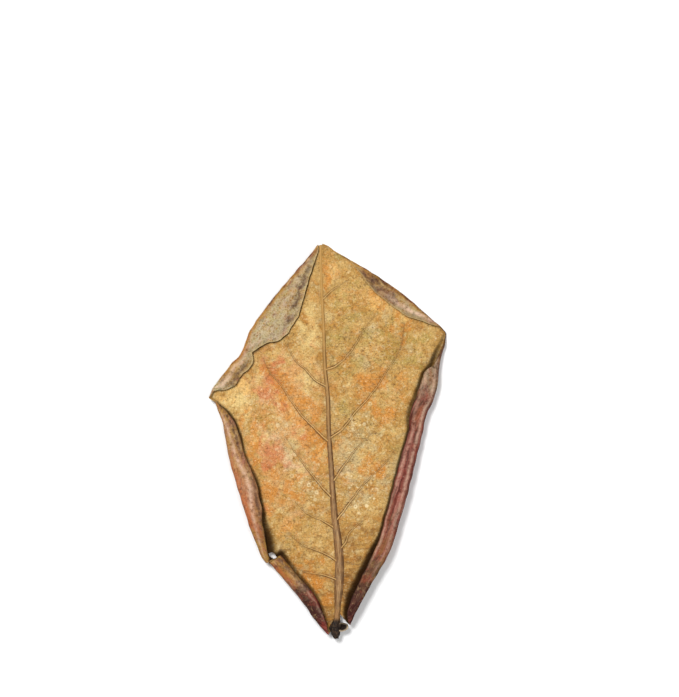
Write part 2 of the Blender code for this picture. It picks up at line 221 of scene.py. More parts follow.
def waves(x, y, wavelength, seed, count=11):
    """A smooth field of about -1 to 1, from seeded cosine waves that run in all directions.

    Their sum is divided by the root of half their count, its usual size, and by WAVE_PEAK, which
    it seldom passes after that.
    """
    draw = np.random.default_rng(seed)
    angle = draw.uniform(0.0, 2.0 * np.pi, count)
    rate = 2.0 * np.pi / (wavelength * draw.uniform(0.65, 1.5, count))
    phase = draw.uniform(0.0, 2.0 * np.pi, count)
    total = np.zeros(np.broadcast(x, y).shape)
    for turn, fast, start in zip(angle, rate, phase):
        total += np.cos((x * np.cos(turn) + y * np.sin(turn)) * fast + start)
    return total / math.sqrt(count / 2.0) / WAVE_PEAK


def soft_step(value, start, end):
    """0 before start, 1 after end, and 3 t squared minus 2 t cubed between them."""
    t = np.clip((value - start) / (end - start), 0.0, 1.0)
    return t * t * (3.0 - 2.0 * t)


def distance_to(x, y, lines):
    """Distance from each place to the nearest straight piece of the lines, each a row of places."""
    nearest = np.full(np.shape(x), FAR_AWAY)
    for places in lines:
        for start, end in zip(places[:-1], places[1:]):
            step = end - start
            share = ((x - start[0]) * step[0] + (y - start[1]) * step[1]) / (step @ step)
            share = np.clip(share, 0.0, 1.0)
            gap = np.hypot(x - start[0] - share * step[0], y - start[1] - share * step[1])
            nearest = np.minimum(nearest, gap)
    return nearest


vein_lines = [along(path, 14)[0] for path in SIDE_VEINS]
rib_table = np.array(MIDRIB)
rib_line = along(rib_table[:, :2], 40)[0]
print("midrib length, mm", round(float(along(rib_table[:, :2], 2)[2][-1]), 1))

# %% [markdown]
# ## How the leaf lies, and its relief
#
# The leaf rests on three low corners round its weight. It is level between them and rises from
# there in a shallow dish, as the solid does. It could be dropped on the floor as cloth, but a
# formula keeps the three corners where the solid has them. A dry blade is never smooth: it is
# puffed up a little between the side veins and cockled all over.

# %% Height of the lower face
FEET = ((-27.2, 99.95), (-10.9, 54.3), (24.7, 103.5))
FEET_BOW = 2.5
FEET_SLACK = 0.2
DISH_STRETCH = 0.4
DISH_REACH = 14.0
DISH_POWER = 1.75
DISH_RISE = 0.8
DISH_RIPPLE = 0.3
RIPPLE_ACROSS = 12.0
RIPPLE_ALONG = 17.0
PUFF = 0.5
PUFF_REACH = 6.0
PUFF_UNREST = 26.0
COCKLE = 0.24
COCKLE_LIFT = 0.12
BLADE = 0.36

# The three sizes of cockle: wavelength, share of the height, seed
COCKLES = ((13.0, 1.0, 5), (5.0, 0.4, 7), (2.2, 0.17, 9))


def beyond_feet(x, y):
    """How far each place lies outside the level spot, the triangle of the feet with bowed sides."""
    lengthwise = y * DISH_STRETCH
    feet = np.array(FEET) * (1.0, DISH_STRETCH)
    furthest = np.full(np.shape(x), -np.inf)
    for start, end in zip(feet, np.roll(feet, -1, axis=0)):
        side = end - start
        length = np.linalg.norm(side)
        east, north = x - start[0], lengthwise - start[1]
        share = (east * side[0] + north * side[1]) / length**2
        outside = (east * side[1] - north * side[0]) / length
        bow = FEET_BOW * np.maximum(4.0 * share * (1.0 - share), 0.0)
        furthest = np.maximum(furthest, outside + bow)
    return np.maximum(furthest - FEET_SLACK, 0.0)


def lie(x, y):
    """The dish: a power of the distance beyond the level spot, times a slow ripple."""
    ripple = 1.0 + DISH_RIPPLE * np.sin(x / RIPPLE_ACROSS + 1.3) * np.cos(y / RIPPLE_ALONG - 0.4)
    return DISH_RISE * (beyond_feet(x, y) / DISH_REACH) ** DISH_POWER * ripple


def relief(x, y):
    """Puffs between the veins plus three sizes of cockle, never below zero."""
    puff = PUFF * soft_step(distance_to(x, y, vein_lines), 0.0, PUFF_REACH)
    puff *= 0.6 + 0.4 * waves(x, y, PUFF_UNREST, 3)
    cockle = COCKLE * sum(share * waves(x, y, length, seed) for length, share, seed in COCKLES)
    return np.maximum(puff + cockle + COCKLE_LIFT, 0.0)


def face_height(x, y):
    """Height of the blade's upper surface, where it lies open."""
    return lie(x, y) + relief(x, y) + BLADE


print("the dish lifts the tip by, mm", round(float(lie(*rib_line[-1])), 2))

# %% [markdown]
# ## The blade
#
# The leaf grew flat, and its margins rolled up as it dried. A flat sheet could be rolled with a
# Simple Deform modifier or as cloth, but the folded outline would then come out by chance. Here the
# outline is given, and each row is rolled by a formula, so every crease lies where it should.
#
# Each half of the blade is one surface with two parameters. One runs from foot to tip. The other
# runs from the midrib straight out to the crease, and on along a spiral whose radius shrinks
# steadily. A tube keeps turning, and a flap stops once it has folded right over.

# %% The margin's state in each fine row
FINE_PER_ROW = 6
TUBE_TIGHTNESS = 0.1
FLAP_TIGHTNESS = 0.02
FLAP_TURN = math.radians(183)
TUBE_TURN = math.radians(900)
TUBE_HEIGHT = 0.745
TALLEST_RADIUS = 5.15
ROUND_RADIUS = 1.5
NARROW_FLAP = 5.0
RIB_STEPS = (0.0, 0.5, 1.0, 1.5)
MOST_RIB_SHARE = 0.33
FACE_COLUMNS = 72
ROLL_COLUMNS = 60
STEPS_PER_COLUMN = 6
FLAP_BOW = 0.9
EDGE_WOBBLE = 0.28
WOBBLE_WIDTH = 8.0
RADIUS_WOBBLE = 0.02
OUTLINE_WOBBLE = 0.14
fine_rows = np.linspace(0.0, ROWS, ROWS * FINE_PER_ROW + 1)
print("fine rows", len(fine_rows))


def side_margin(stretches, outward, seed):
    """Place, outward direction, curl radius, curled width and tube share for each fine row.

    Within a stretch they follow its own curve, and between two stretches they run straight from
    one's end to the other's start.
    """
    known, states = [], []
    for stretch in stretches:
        first, last = stretch["rows"]
        count = (last - first) * FINE_PER_ROW + 1
        place, heading, distance = along(stretch["outline"], count)
        curl = np.array(stretch["curl"], dtype=float)
        normal = outward * np.column_stack((heading[:, 1], -heading[:, 0]))
        radius = np.interp(distance, curl[:, 0], curl[:, 1])
        width = np.interp(distance, curl[:, 0], curl[:, 2])
        tube = np.full(count, float(stretch["tube"]))
        known.append(np.linspace(first, last, count))
        states.append(np.column_stack((place, normal, radius, width, tube)))
    known, states = np.concatenate(known), np.concatenate(states)
    state = np.column_stack([np.interp(fine_rows, known, column) for column in states.T])
    place, normal = state[:, :2], state[:, 2:4]
    radius, width, tube = state[:, 4:].T
    normal = normal / np.linalg.norm(normal, axis=1)[:, None]
    level = np.zeros(len(fine_rows))
    ragged = waves(fine_rows, level, 3.1, seed) + 0.5 * waves(fine_rows, level, 0.9, seed + 1)
    width = width + EDGE_WOBBLE * np.clip(width / WOBBLE_WIDTH, 0.0, 1.0) * ragged
    radius = radius * (1.0 + RADIUS_WOBBLE * tube * waves(fine_rows, level, 4.0, seed + 2))
    place = place + normal * (OUTLINE_WOBBLE * waves(fine_rows, level, 1.8, seed + 3))[:, None]
    return place, normal, radius, width, tube


# %% One half of the blade
def curl_profile(radius, width, tube):
    """Sideways and upward travel and heading across each row's curl, and its sideways limits.

    The heading after a distance d is -ln(1 - tightness d / radius) / tightness, and the sums of its
    cosines and sines are the travel. Large tubes are squashed, and wide flaps bow up a little.
    """
    steps = ROLL_COLUMNS * STEPS_PER_COLUMN
    tightness = np.where(tube > 0.5, TUBE_TIGHTNESS, FLAP_TIGHTNESS)[:, None]
    limit = np.where(tube > 0.5, TUBE_TURN, FLAP_TURN)[:, None]
    distance = width[:, None] * (np.arange(steps) + 0.5) / steps
    heading = -np.log(1.0 - tightness * distance / radius[:, None]) / tightness
    heading = np.minimum(heading, limit)
    step = width[:, None] / steps
    out = np.cumsum(np.cos(heading) * step, axis=1)
    up = np.cumsum(np.sin(heading) * step, axis=1)
    large = np.clip((radius - ROUND_RADIUS) / ROUND_RADIUS, 0.0, 1.0)
    squash = 1.0 - (1.0 - TUBE_HEIGHT) * tube * large
    squash = squash * np.minimum(TALLEST_RADIUS / radius, 1.0)
    pick = np.arange(STEPS_PER_COLUMN - 1, steps, STEPS_PER_COLUMN)
    share = (np.arange(ROLL_COLUMNS) + 1.0) / ROLL_COLUMNS
    flat_part = np.clip((width - NARROW_FLAP) / NARROW_FLAP, 0.0, 1.0) * (1.0 - tube)
    bow = FLAP_BOW * flat_part[:, None] * np.sin(np.pi * soft_step(share, 0.25, 1.08))[None, :]
    up = up[:, pick] * squash[:, None] + bow
    return out[:, pick], up, heading[:, pick], out.min(axis=1), out.max(axis=1)


def half_blade(stretches, outward, seed):
    """A half blade's grids from midrib to free edge, and the line of its curl's inmost places."""
    place, normal, radius, width, tube = side_margin(stretches, outward, seed)
    out, up, heading, least, most = curl_profile(radius, width, tube)
    crease = place - normal * np.maximum(most, 0.0)[:, None]
    foot, _, _ = along(rib_table[:, :2], len(fine_rows))
    half_width = np.interp(foot[:, 1], rib_table[:, 1], rib_table[:, 2])
    span = np.linalg.norm(crease - foot, axis=1)
    near = np.minimum(half_width / span, MOST_RIB_SHARE)[:, None] * np.array(RIB_STEPS)
    rest = np.linspace(0.0, 1.0, FACE_COLUMNS + 1)[1:]
    share = np.concatenate((near, near[:, -1:] + (1.0 - near[:, -1:]) * rest), axis=1)
    flat = foot[:, None, :] + (crease - foot)[:, None, :] * share[:, :, None]
    curled = crease[:, None, :] + normal[:, None, :] * out[:, :, None]
    plan = np.concatenate((flat, curled), axis=1)
    rolled = width[:, None] * (np.arange(ROLL_COLUMNS) + 1.0) / ROLL_COLUMNS
    beyond = np.concatenate(((share - 1.0) * span[:, None], rolled), axis=1)
    grids = {
        "x": plan[:, :, 0],
        "y": plan[:, :, 1],
        "curl_height": np.concatenate((np.zeros(share.shape), up), axis=1),
        "beyond": beyond,
        "to_edge": width[:, None] - beyond,
        "row": np.broadcast_to(fine_rows[:, None], beyond.shape),
        "tube": np.broadcast_to(tube[:, None], beyond.shape),
        "heading": np.concatenate((np.zeros(share.shape), heading), axis=1),
    }
    return grids, crease + normal * np.minimum(least, 0.0)[:, None]


left_half, left_inmost = half_blade(LEFT, -1, 40)
right_half, right_inmost = half_blade(RIGHT, 1, 60)
print("grid of a half", left_half["x"].shape)

# %% [markdown]
# The curls get fine lengthwise wrinkles, pushed along the surface's own direction, and then the
# sheet gets its thickness. A Solidify modifier would do for that, but both faces are worked out
# here, so each knows its material and its stored numbers. A tear parts the left tube from the left
# foot: its cells are left out, with a small lens-shaped hole at its inner end. Every open border is
# closed with a rim.

# %% Wrinkles and thickness
WRINKLE = 0.2
RIGHT_WRINKLE = 0.12
WRINKLE_PERIOD = 5.0
WRINKLE_ACROSS = 1.5
WRINKLE_ALONG = 0.34
CURL_RELIEF = 0.25
CALM_REACH = 3.0
WRINKLE_START = (0.5, 4.0)


def grid_normals(points):
    """Unit normals of a grid of points: the cross product of its across and along directions."""
    normal = np.cross(np.gradient(points, axis=1), np.gradient(points, axis=0))
    return normal / np.maximum(np.linalg.norm(normal, axis=2), 1e-12)[:, :, None]


def surfaces(half, outward):
    """The half's lower and upper surfaces, wrinkled, the lower one never under the floor."""
    x, y = half["x"], half["y"]
    calm = 1.0 - (1.0 - CURL_RELIEF) * soft_step(half["beyond"], 0.0, CALM_REACH)
    lower = np.dstack((x, y, half["curl_height"] + lie(x, y) + relief(x, y) * calm))
    depth = WRINKLE if outward < 0 else RIGHT_WRINKLE
    depth = depth * soft_step(half["beyond"], *WRINKLE_START)
    streak = waves(half["beyond"] * WRINKLE_ACROSS, half["row"] * WRINKLE_ALONG, WRINKLE_PERIOD, 21)
    lower = lower + outward * grid_normals(lower) * (depth * streak)[:, :, None]
    lower[:, :, 0] = np.maximum(lower[:, :, 0], LEFTMOST)
    lower[:, :, 2] = np.maximum(lower[:, :, 2], 0.0)
    return lower, lower + outward * grid_normals(lower) * BLADE


# %% The tear
TEAR_ROWS = (11.3, 11.7)
TEAR_START = -1.5
HOLE = (-30.2, 26.3)
HOLE_REACH = (2.2, 1.15)
HOLE_TURN = math.radians(-39)


def torn_cells(half):
    """Cells in the slit through the curl, or in the lens at its inner end."""
    row = (half["row"][1:, 1:] + half["row"][:-1, :-1]) / 2.0
    beyond = (half["beyond"][1:, 1:] + half["beyond"][:-1, :-1]) / 2.0
    east = (half["x"][1:, 1:] + half["x"][:-1, :-1]) / 2.0 - HOLE[0]
    north = (half["y"][1:, 1:] + half["y"][:-1, :-1]) / 2.0 - HOLE[1]
    lengthwise = east * math.cos(HOLE_TURN) + north * math.sin(HOLE_TURN)
    sideways = north * math.cos(HOLE_TURN) - east * math.sin(HOLE_TURN)
    lens = (lengthwise / HOLE_REACH[0]) ** 2 + (sideways / HOLE_REACH[1]) ** 2 < 1.0
    slit = (row > TEAR_ROWS[0]) & (row < TEAR_ROWS[1]) & (beyond > TEAR_START)
    return slit | (lens & (beyond < 0.0))


left_torn = torn_cells(left_half)
right_torn = np.zeros(left_torn.shape, dtype=bool)
print("torn cells", int(left_torn.sum()))


# %% Closing a sheet into a solid
def thick_sheet(top, bottom, kept):
    """Points and quads of the solid between two grids, and the kind of each quad.

    Kept cells give one quad above and one below. Where a kept cell's neighbour is missing, the rim
    is closed by a quad that runs the shared edge the other way round.
    """
    rows, columns = top.shape[:2]
    number = np.arange(rows * columns).reshape(rows, columns)
    below = rows * columns
    i, j = np.nonzero(kept)
    corners = (number[i, j], number[i, j + 1], number[i + 1, j + 1], number[i + 1, j])
    quads = [np.column_stack(corners), np.column_stack(corners[::-1]) + below]
    kinds = [np.zeros(len(i), dtype=np.int32), np.ones(len(i), dtype=np.int32)]
    padded = np.pad(kept, 1)
    sides = (
        (padded[:-2, 1:-1], (0, 0), (0, 1)),
        (padded[1:-1, 2:], (0, 1), (1, 1)),
        (padded[2:, 1:-1], (1, 1), (1, 0)),
        (padded[1:-1, :-2], (1, 0), (0, 0)),
    )
    for neighbour, start, end in sides:
        i, j = np.nonzero(kept & ~neighbour)
        a = number[i + start[0], j + start[1]]
        b = number[i + end[0], j + end[1]]
        quads.append(np.column_stack((b, a, a + below, b + below)))
        kinds.append(np.full(len(i), 2, dtype=np.int32))
    points = np.concatenate((top.reshape(-1, 3), bottom.reshape(-1, 3)))
    return points, np.concatenate(quads), np.concatenate(kinds)


def make_piece(name, points, faces, smooth_below=50.0):
    """A piece of the leaf from points in millimetres, riding on the frame's one body."""
    mesh = bpy.data.meshes.new(name)
    mesh.from_pydata((points * MM + FOOT).tolist(), [], faces)
    mesh.shade_smooth()
    mesh.set_sharp_from_angle(angle=math.radians(smooth_below))
    piece = bpy.data.objects.new(name, mesh)
    bpy.context.scene.collection.objects.link(piece)
    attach(piece, "root")
    triangles = sum(len(polygon.vertices) - 2 for polygon in mesh.polygons)
    print(name, "points", len(mesh.vertices), "triangles", triangles)
    return piece


def point_values(piece, values):
    """Stores named numbers on the points of the piece, for its material to read."""
    for name, numbers in values.items():
        layer = piece.data.attributes.new(name, "FLOAT", "POINT")
        layer.data.foreach_set("value", np.ascontiguousarray(numbers, dtype=np.float32).ravel())


# %% [markdown]
# ## Stains and painted shadows
#
# A dead leaf colours in patches. The large ones are placed one by one: each is a soft oval whose
# border seeded waves push about. What lies between them is left to the material's own noise. The
# curls also darken the face beside them with painted shadows, and a table for each side says how
# much and how far. All of it is stored as numbers on the points, and the material decides what they
# look like. A painted picture could carry the stains too, but the numbers need no file and bend
# with the leaf.

# %% Shadows that the curls throw on the face: row, strength, reach
# These shadows are painted on the face as dark colour beside each curl, in the material.
SHADOW_STEP = 3
LEFT_SHADOWS = (
    (0, 0.6, 0.9), (2, 0.6, 1.1), (6, 0.8, 1.3), (8, 0.7, 1.3), (10, 0.9, 1.6), (11, 1.0, 2.4),
    (12, 1.0, 4.0), (14, 1.0, 4.0), (16, 0.9, 2.4), (18, 0.9, 1.2), (20.8, 0.85, 1.5),
    (23, 0.6, 0.7), (25.5, 0.8, 0.8), (28, 0.9, 0.9), (30, 0.9, 0.8), (31, 0.6, 0.4),
    (33, 0.5, 0.35), (39, 0.8, 0.5), (52, 0.8, 0.6), (55, 0.5, 0.3),
)
RIGHT_SHADOWS = (
    (0, 1.0, 1.8), (3, 1.0, 2.8), (6, 1.0, 2.9), (9, 1.0, 2.2), (11, 0.95, 1.1), (15, 0.9, 0.9),
    (23, 0.9, 0.9), (25, 0.7, 1.8), (28, 0.9, 1.3), (32, 0.9, 1.5), (34, 0.6, 0.9), (36, 0.3, 0.4),
    (40, 0.4, 0.35), (46, 0.4, 0.35), (49, 0.2, 0.4), (55, 0.0, 0.4),
)
print("rows of shadows", len(LEFT_SHADOWS) + len(RIGHT_SHADOWS))

# %% Patches on the open face: x, y, half width, half length, strength
ORANGE = (
    (18.5, 146.5, 3.5, 2.8, 0.8), (31.5, 137.0, 3.0, 2.8, 0.8), (28.7, 130.5, 3.5, 3.0, 0.9),
    (14.5, 107.0, 5.5, 4.5, 1.0), (21.0, 108.5, 5.0, 4.0, 0.8), (13.0, 97.0, 4.0, 5.0, 0.7),
    (20.5, 93.0, 6.0, 4.5, 1.0), (31.0, 104.0, 5.0, 7.0, 0.5), (16.1, 68.3, 5.5, 4.0, 1.0),
    (-10.5, 81.0, 5.0, 7.0, 1.0), (-8.5, 71.0, 4.0, 6.0, 1.0), (-9.5, 91.0, 4.5, 5.0, 0.7),
    (-27.0, 108.0, 5.0, 5.0, 1.0), (-23.5, 104.0, 4.5, 5.5, 0.9), (-32.0, 113.5, 4.0, 4.5, 0.9),
    (-20.8, 61.8, 7.0, 3.5, 0.9), (-33.5, 55.0, 4.5, 7.0, 1.0), (-31.0, 63.0, 5.0, 5.0, 0.7),
    (-20.0, 55.5, 6.0, 3.5, 0.8), (-39.0, 74.0, 3.0, 12.0, 0.9), (-43.5, 88.0, 2.5, 6.0, 0.8),
    (-17.0, 20.0, 7.0, 3.5, 1.0), (-11.0, 14.5, 6.0, 3.5, 1.0), (-8.0, 6.0, 4.0, 4.0, 0.9),
    (-6.0, 153.0, 3.5, 8.0, 0.7), (-13.0, 117.0, 4.0, 4.0, 0.5), (-16.0, 99.0, 4.0, 5.0, 0.7),
    (-33.0, 91.0, 4.5, 4.5, 0.7), (6.0, 42.0, 4.0, 5.0, 0.6),
)
PINK = (
    (-28.5, 116.0, 4.0, 4.0, 1.0), (-32.5, 103.5, 6.0, 5.5, 1.0), (-29.0, 96.0, 3.5, 4.0, 0.8),
    (-17.5, 122.0, 3.0, 3.0, 0.7), (-17.5, 84.0, 3.0, 3.5, 0.6), (-30.0, 73.0, 6.0, 5.5, 1.0),
    (-33.5, 82.0, 2.5, 5.0, 0.6), (-24.5, 68.5, 4.0, 3.5, 0.6), (-34.0, 49.0, 2.5, 5.0, 0.6),
)
WARM = (
    (-26.0, 104.0, 18.0, 17.0, 1.0), (-22.0, 80.0, 15.0, 15.0, 1.0), (-29.0, 60.0, 10.0, 14.0, 0.9),
    (-20.0, 48.0, 12.0, 8.0, 0.6), (-11.0, 71.0, 7.0, 12.0, 0.8), (-38.0, 75.0, 6.0, 20.0, 0.7),
    (-12.0, 100.0, 6.0, 12.0, 0.6), (15.0, 150.0, 9.0, 5.0, 0.7), (17.0, 105.0, 8.0, 8.0, 0.4),
)
AMBER = (
    (-42.0, 86.0, 3.0, 4.5, 0.8), (-40.5, 76.5, 3.0, 5.0, 1.0), (-32.0, 48.5, 3.0, 4.5, 0.8),
    (-21.0, 95.0, 6.0, 8.0, 0.8), (-8.0, 76.0, 3.5, 9.0, 0.9), (20.0, 148.0, 5.0, 4.0, 0.7),
    (1.5, 80.0, 2.5, 9.0, 0.7), (-40.5, 94.5, 3.0, 5.0, 0.7), (-32.0, 112.5, 2.2, 2.8, 0.8),
    (-29.0, 108.0, 2.2, 2.8, 0.8), (-26.0, 103.5, 2.2, 2.8, 0.9), (-23.2, 99.0, 2.2, 2.8, 0.9),
    (-20.0, 94.0, 2.5, 3.0, 0.9), (-17.5, 89.5, 2.5, 2.8, 0.8), (-10.0, 16.0, 7.0, 4.0, 0.7),
    (-18.0, 24.0, 6.0, 2.5, 0.6), (-4.0, 160.0, 4.0, 7.0, 0.5), (30.0, 104.0, 4.0, 8.0, 0.5),
    (-24.0, 39.0, 4.0, 5.0, 0.5),
)
PALE = (
    (-47.0, 97.5, 7.0, 5.5, 1.0), (-43.5, 91.0, 3.5, 4.0, 0.8), (-37.0, 111.0, 3.0, 3.5, 0.8),
    (-13.0, 128.0, 5.0, 14.0, 0.9), (-14.0, 108.0, 4.0, 6.0, 0.8), (-23.0, 121.0, 3.0, 3.0, 0.7),
    (-3.5, 158.0, 3.5, 3.5, 0.4), (-21.5, 77.5, 3.5, 4.5, 1.0), (-27.0, 60.5, 3.5, 3.0, 0.8),
    (-14.0, 67.0, 3.0, 4.0, 0.8), (-36.0, 83.0, 2.5, 4.0, 0.7), (-13.0, 50.0, 4.0, 3.0, 0.6),
    (-25.0, 48.0, 4.0, 4.0, 0.7), (-14.0, 33.5, 6.0, 3.0, 0.5), (9.0, 75.0, 4.0, 4.0, 0.6),
    (2.0, 104.0, 3.5, 4.0, 0.6), (24.0, 86.0, 4.0, 4.0, 0.6), (16.0, 52.0, 4.0, 4.0, 0.3),
    (26.0, 100.0, 3.0, 3.0, 0.5), (-24.0, 97.0, 2.5, 3.0, 0.7), (20.0, 77.0, 3.0, 3.0, 0.6),
)
GOLD = (
    (18.0, 147.5, 5.5, 4.0, 0.9), (31.0, 137.5, 5.0, 3.5, 0.8), (25.0, 141.5, 5.0, 3.5, 0.5),
    (-48.5, 100.5, 5.5, 5.5, 1.0), (-44.5, 103.5, 4.0, 4.0, 0.8), (-43.5, 95.0, 3.5, 4.0, 0.6),
)
HAZE = (
    (-36.0, 89.0, 3.5, 3.5, 0.6), (-30.5, 82.0, 3.0, 3.5, 0.7), (-26.2, 75.5, 3.2, 4.0, 1.0),
    (-22.2, 70.5, 3.2, 4.0, 1.0), (-18.5, 66.0, 3.2, 3.5, 0.8), (-15.0, 62.0, 3.0, 3.0, 0.6),
    (4.0, 62.0, 3.0, 4.5, 0.8), (15.0, 59.0, 4.0, 4.0, 0.5), (-32.0, 99.0, 2.0, 2.0, 0.3),
)
OLIVE = (
    (1.0, 150.0, 6.0, 7.0, 0.45), (27.0, 132.5, 6.0, 4.0, 0.6), (19.0, 134.0, 6.0, 5.0, 0.5),
    (1.0, 128.0, 6.0, 7.0, 0.7), (8.0, 140.0, 8.0, 7.0, 0.5), (15.0, 127.0, 7.0, 6.0, 0.6),
    (24.0, 121.0, 6.0, 6.0, 0.7), (39.0, 127.0, 7.0, 4.0, 0.8), (36.0, 117.0, 4.0, 6.0, 0.7),
    (2.0, 114.0, 6.0, 6.0, 0.7), (9.0, 118.0, 4.0, 4.0, 0.6), (22.0, 101.0, 5.0, 3.0, 0.5),
    (4.0, 95.0, 5.0, 6.0, 0.6), (16.0, 85.0, 6.0, 5.0, 0.4), (8.0, 84.0, 4.0, 4.0, 0.4),
    (27.0, 78.0, 3.0, 5.0, 0.5), (2.0, 145.0, 5.0, 5.0, 0.5), (12.0, 154.0, 8.0, 4.0, 0.7),
    (-17.0, 43.0, 5.0, 2.5, 0.5), (-22.0, 34.0, 4.0, 3.0, 0.5), (2.0, 166.0, 8.0, 3.0, 0.6),
)
GREY = (
    (8.0, 84.0, 6.0, 8.0, 0.8), (4.0, 72.0, 5.0, 8.0, 0.8), (18.0, 86.0, 5.0, 6.0, 0.5),
    (12.0, 60.0, 8.0, 8.0, 0.6), (22.0, 62.0, 4.0, 7.0, 0.6), (8.0, 50.0, 5.0, 5.0, 0.5),
    (-12.0, 58.0, 5.0, 5.0, 0.5), (-26.0, 86.0, 4.0, 3.5, 0.5), (-22.0, 76.0, 3.0, 5.0, 0.6),
    (12.0, 122.0, 6.0, 5.0, 0.5), (16.0, 132.0, 5.0, 4.0, 0.5), (24.0, 104.0, 4.0, 5.0, 0.5),
    (14.0, 114.0, 4.0, 3.0, 0.5), (2.0, 120.0, 4.0, 5.0, 0.4),
)
BASE = (
    (6.0, 10.0, 7.0, 13.0, 1.0), (8.0, 24.0, 6.0, 10.0, 0.9), (14.0, 36.0, 4.0, 6.0, 0.6),
    (-16.0, 12.0, 5.0, 8.0, 0.8), (-24.0, 23.0, 5.0, 4.0, 0.7), (-5.0, -3.0, 5.0, 6.0, 0.9),
    (-9.0, 20.0, 7.0, 3.0, 0.6), (3.0, 36.0, 3.0, 6.0, 0.5), (-10.0, 9.0, 8.0, 10.0, 0.55),
)
MILDEW = (
    (12.0, 58.0, 12.0, 14.0, 1.0), (-14.0, 63.0, 9.0, 12.0, 0.8), (-30.0, 92.0, 12.0, 10.0, 0.5),
    (12.0, 92.0, 9.0, 6.0, 0.9), (-18.0, 95.0, 8.0, 8.0, 0.5), (22.0, 64.0, 5.0, 6.0, 0.8),
)

# Each kind of patch, and the seed of its borders
PATCHES = {
    "orange": (ORANGE, 100),
    "pink": (PINK, 110),
    "amber": (AMBER, 180),
    "haze": (HAZE, 210),
    "gold": (GOLD, 240),
    "pale": (PALE, 120),
    "olive": (OLIVE, 130),
    "warm": (WARM, 170),
    "grey": (GREY, 160),
    "mildew": (MILDEW, 140),
    "base": (BASE, 150),
}
print("patches", sum(len(ovals) for ovals, _ in PATCHES.values()))

# %% Patches and shadows at any place
CREASE_SHADE_REACH = 4.0
VEIN_SIDE_REACH = 1.6
RIB_SIDE_REACH = 3.0
PATCH_FADE = 0.8

# The waves that push the borders about: height, wavelength
BORDER_WAVES = ((2.8, 9.0), (1.2, 3.5))


def patches(x, y, ovals, seed):
    """The strongest oval at each place, its border pushed about by waves.

    An oval's strength falls off as exp(-PATCH_FADE far), where far is the square of the distance
    from its middle, counted in its own reach.
    """
    east, north = x, y
    for number, (push, length) in enumerate(BORDER_WAVES):
        east = east + push * waves(x, y, length, seed + number)
        north = north + push * waves(x, y, length, seed + 2 + number)
    strongest = np.zeros(np.shape(x))
    for middle_x, middle_y, reach_x, reach_y, strength in ovals:
        far = ((east - middle_x) / reach_x) ** 2 + ((north - middle_y) / reach_y) ** 2
        strongest = np.maximum(strongest, strength * np.exp(-PATCH_FADE * far))
    return strongest


def shadow_beside(x, y, line, table):
    """The strongest shadow at each place, from one side's line of inmost places.

    Each step of the line darkens by strength times exp(-(distance / reach)^5), and the table gives
    both for its row.
    """
    table = np.array(table)
    strength = np.interp(fine_rows, table[:, 0], table[:, 1])
    reach = np.interp(fine_rows, table[:, 0], table[:, 2])
    darkest = np.zeros(np.shape(x))
    for k in range(0, len(line) - SHADOW_STEP, SHADOW_STEP):
        gap = distance_to(x, y, [line[[k, k + SHADOW_STEP]]])
        darkest = np.maximum(darkest, strength[k] * np.exp(-((gap / reach[k]) ** 5)))
    return darkest


def face_values(x, y):
    """Patches at the given places of the open face, and how near they are to curls and veins, for
    the shade painted there.
    """
    overhang = distance_to(x, y, [left_inmost[::3], right_inmost[::3]])
    left_shadow = shadow_beside(x, y, left_inmost, LEFT_SHADOWS)
    right_shadow = shadow_beside(x, y, right_inmost, RIGHT_SHADOWS)
    values = {name: patches(x, y, ovals, seed) for name, (ovals, seed) in PATCHES.items()}
    values["shadow"] = np.maximum(left_shadow, right_shadow)
    # Painted shade: the face gets softly darker near where the curls hang over it.
    values["crease"] = np.exp(-((overhang / CREASE_SHADE_REACH) ** 2))
    # Partly vein colour and partly painted shade: darker near the veins and the midrib.
    values["vein_side"] = np.exp(-((distance_to(x, y, vein_lines) / VEIN_SIDE_REACH) ** 2))
    values["rib_side"] = np.exp(-((distance_to(x, y, [rib_line]) / RIB_SIDE_REACH) ** 2))
    return values


# %% [markdown]
# On the curls the upper face shows, and its tint drifts along each side. The feet are dark maroon,
# the left tube is rose tan and rust, the right one maroon, and the flaps are ochre and grey. For
# each side a table says how much of each there is from foot to tip. A curl changes across too: the
# wall that turns down to the face is painted dark as shade, and paler and darker stripes, partly
# the skin's colour and partly painted highlight and shade, run along the curl with rust ones. The
# outer edge of a flap is ochre, and a last table darkens it or turns it to rust; on the right flap
# that darkness is partly painted shade where the fold turns away. Point colours could be painted by
# hand instead, but a table by row can be read and changed.

# %% Tints of the curls: row, rose, ochre, grey, darkness
LEFT_TINTS = (
    (0, 0.0, 0.0, 0.0, 0.4), (1.5, 0.0, 0.0, 0.0, 0.75), (3.6, 0.0, 0.1, 0.0, 1.2),
    (5.9, 0.0, 0.3, 0.1, 1.2), (7.2, 0.1, 0.8, 0.2, 0.9), (8.2, 0.1, 1.0, 0.1, 0.45),
    (9.5, 0.1, 1.0, 0.0, 0.35), (12, 0.1, 1.0, 0.1, 0.3), (14.5, 0.3, 1.0, 0.1, 0.2),
    (17, 0.8, 0.4, 0.1, 0.3), (21, 1.0, 0.3, 0.2, 0.0), (24, 0.8, 0.5, 0.1, 0.0),
    (26, 0.5, 0.7, 0.2, 0.25), (28, 0.5, 0.7, 0.2, 0.3), (31, 0.4, 0.7, 0.0, 0.5),
    (32, 0.0, 0.8, 1.0, 0.0), (34, 0.0, 0.8, 0.9, 0.0), (36, 0.2, 1.0, 0.3, 0.4),
    (38.5, 0.3, 1.0, 0.5, 0.3), (41, 0.2, 1.0, 0.9, 0.1), (45, 0.2, 1.0, 0.7, 0.3),
    (48, 0.2, 1.0, 0.6, 0.5), (51, 0.2, 1.0, 0.6, 0.5), (55, 0.1, 1.0, 0.8, 0.1),
)
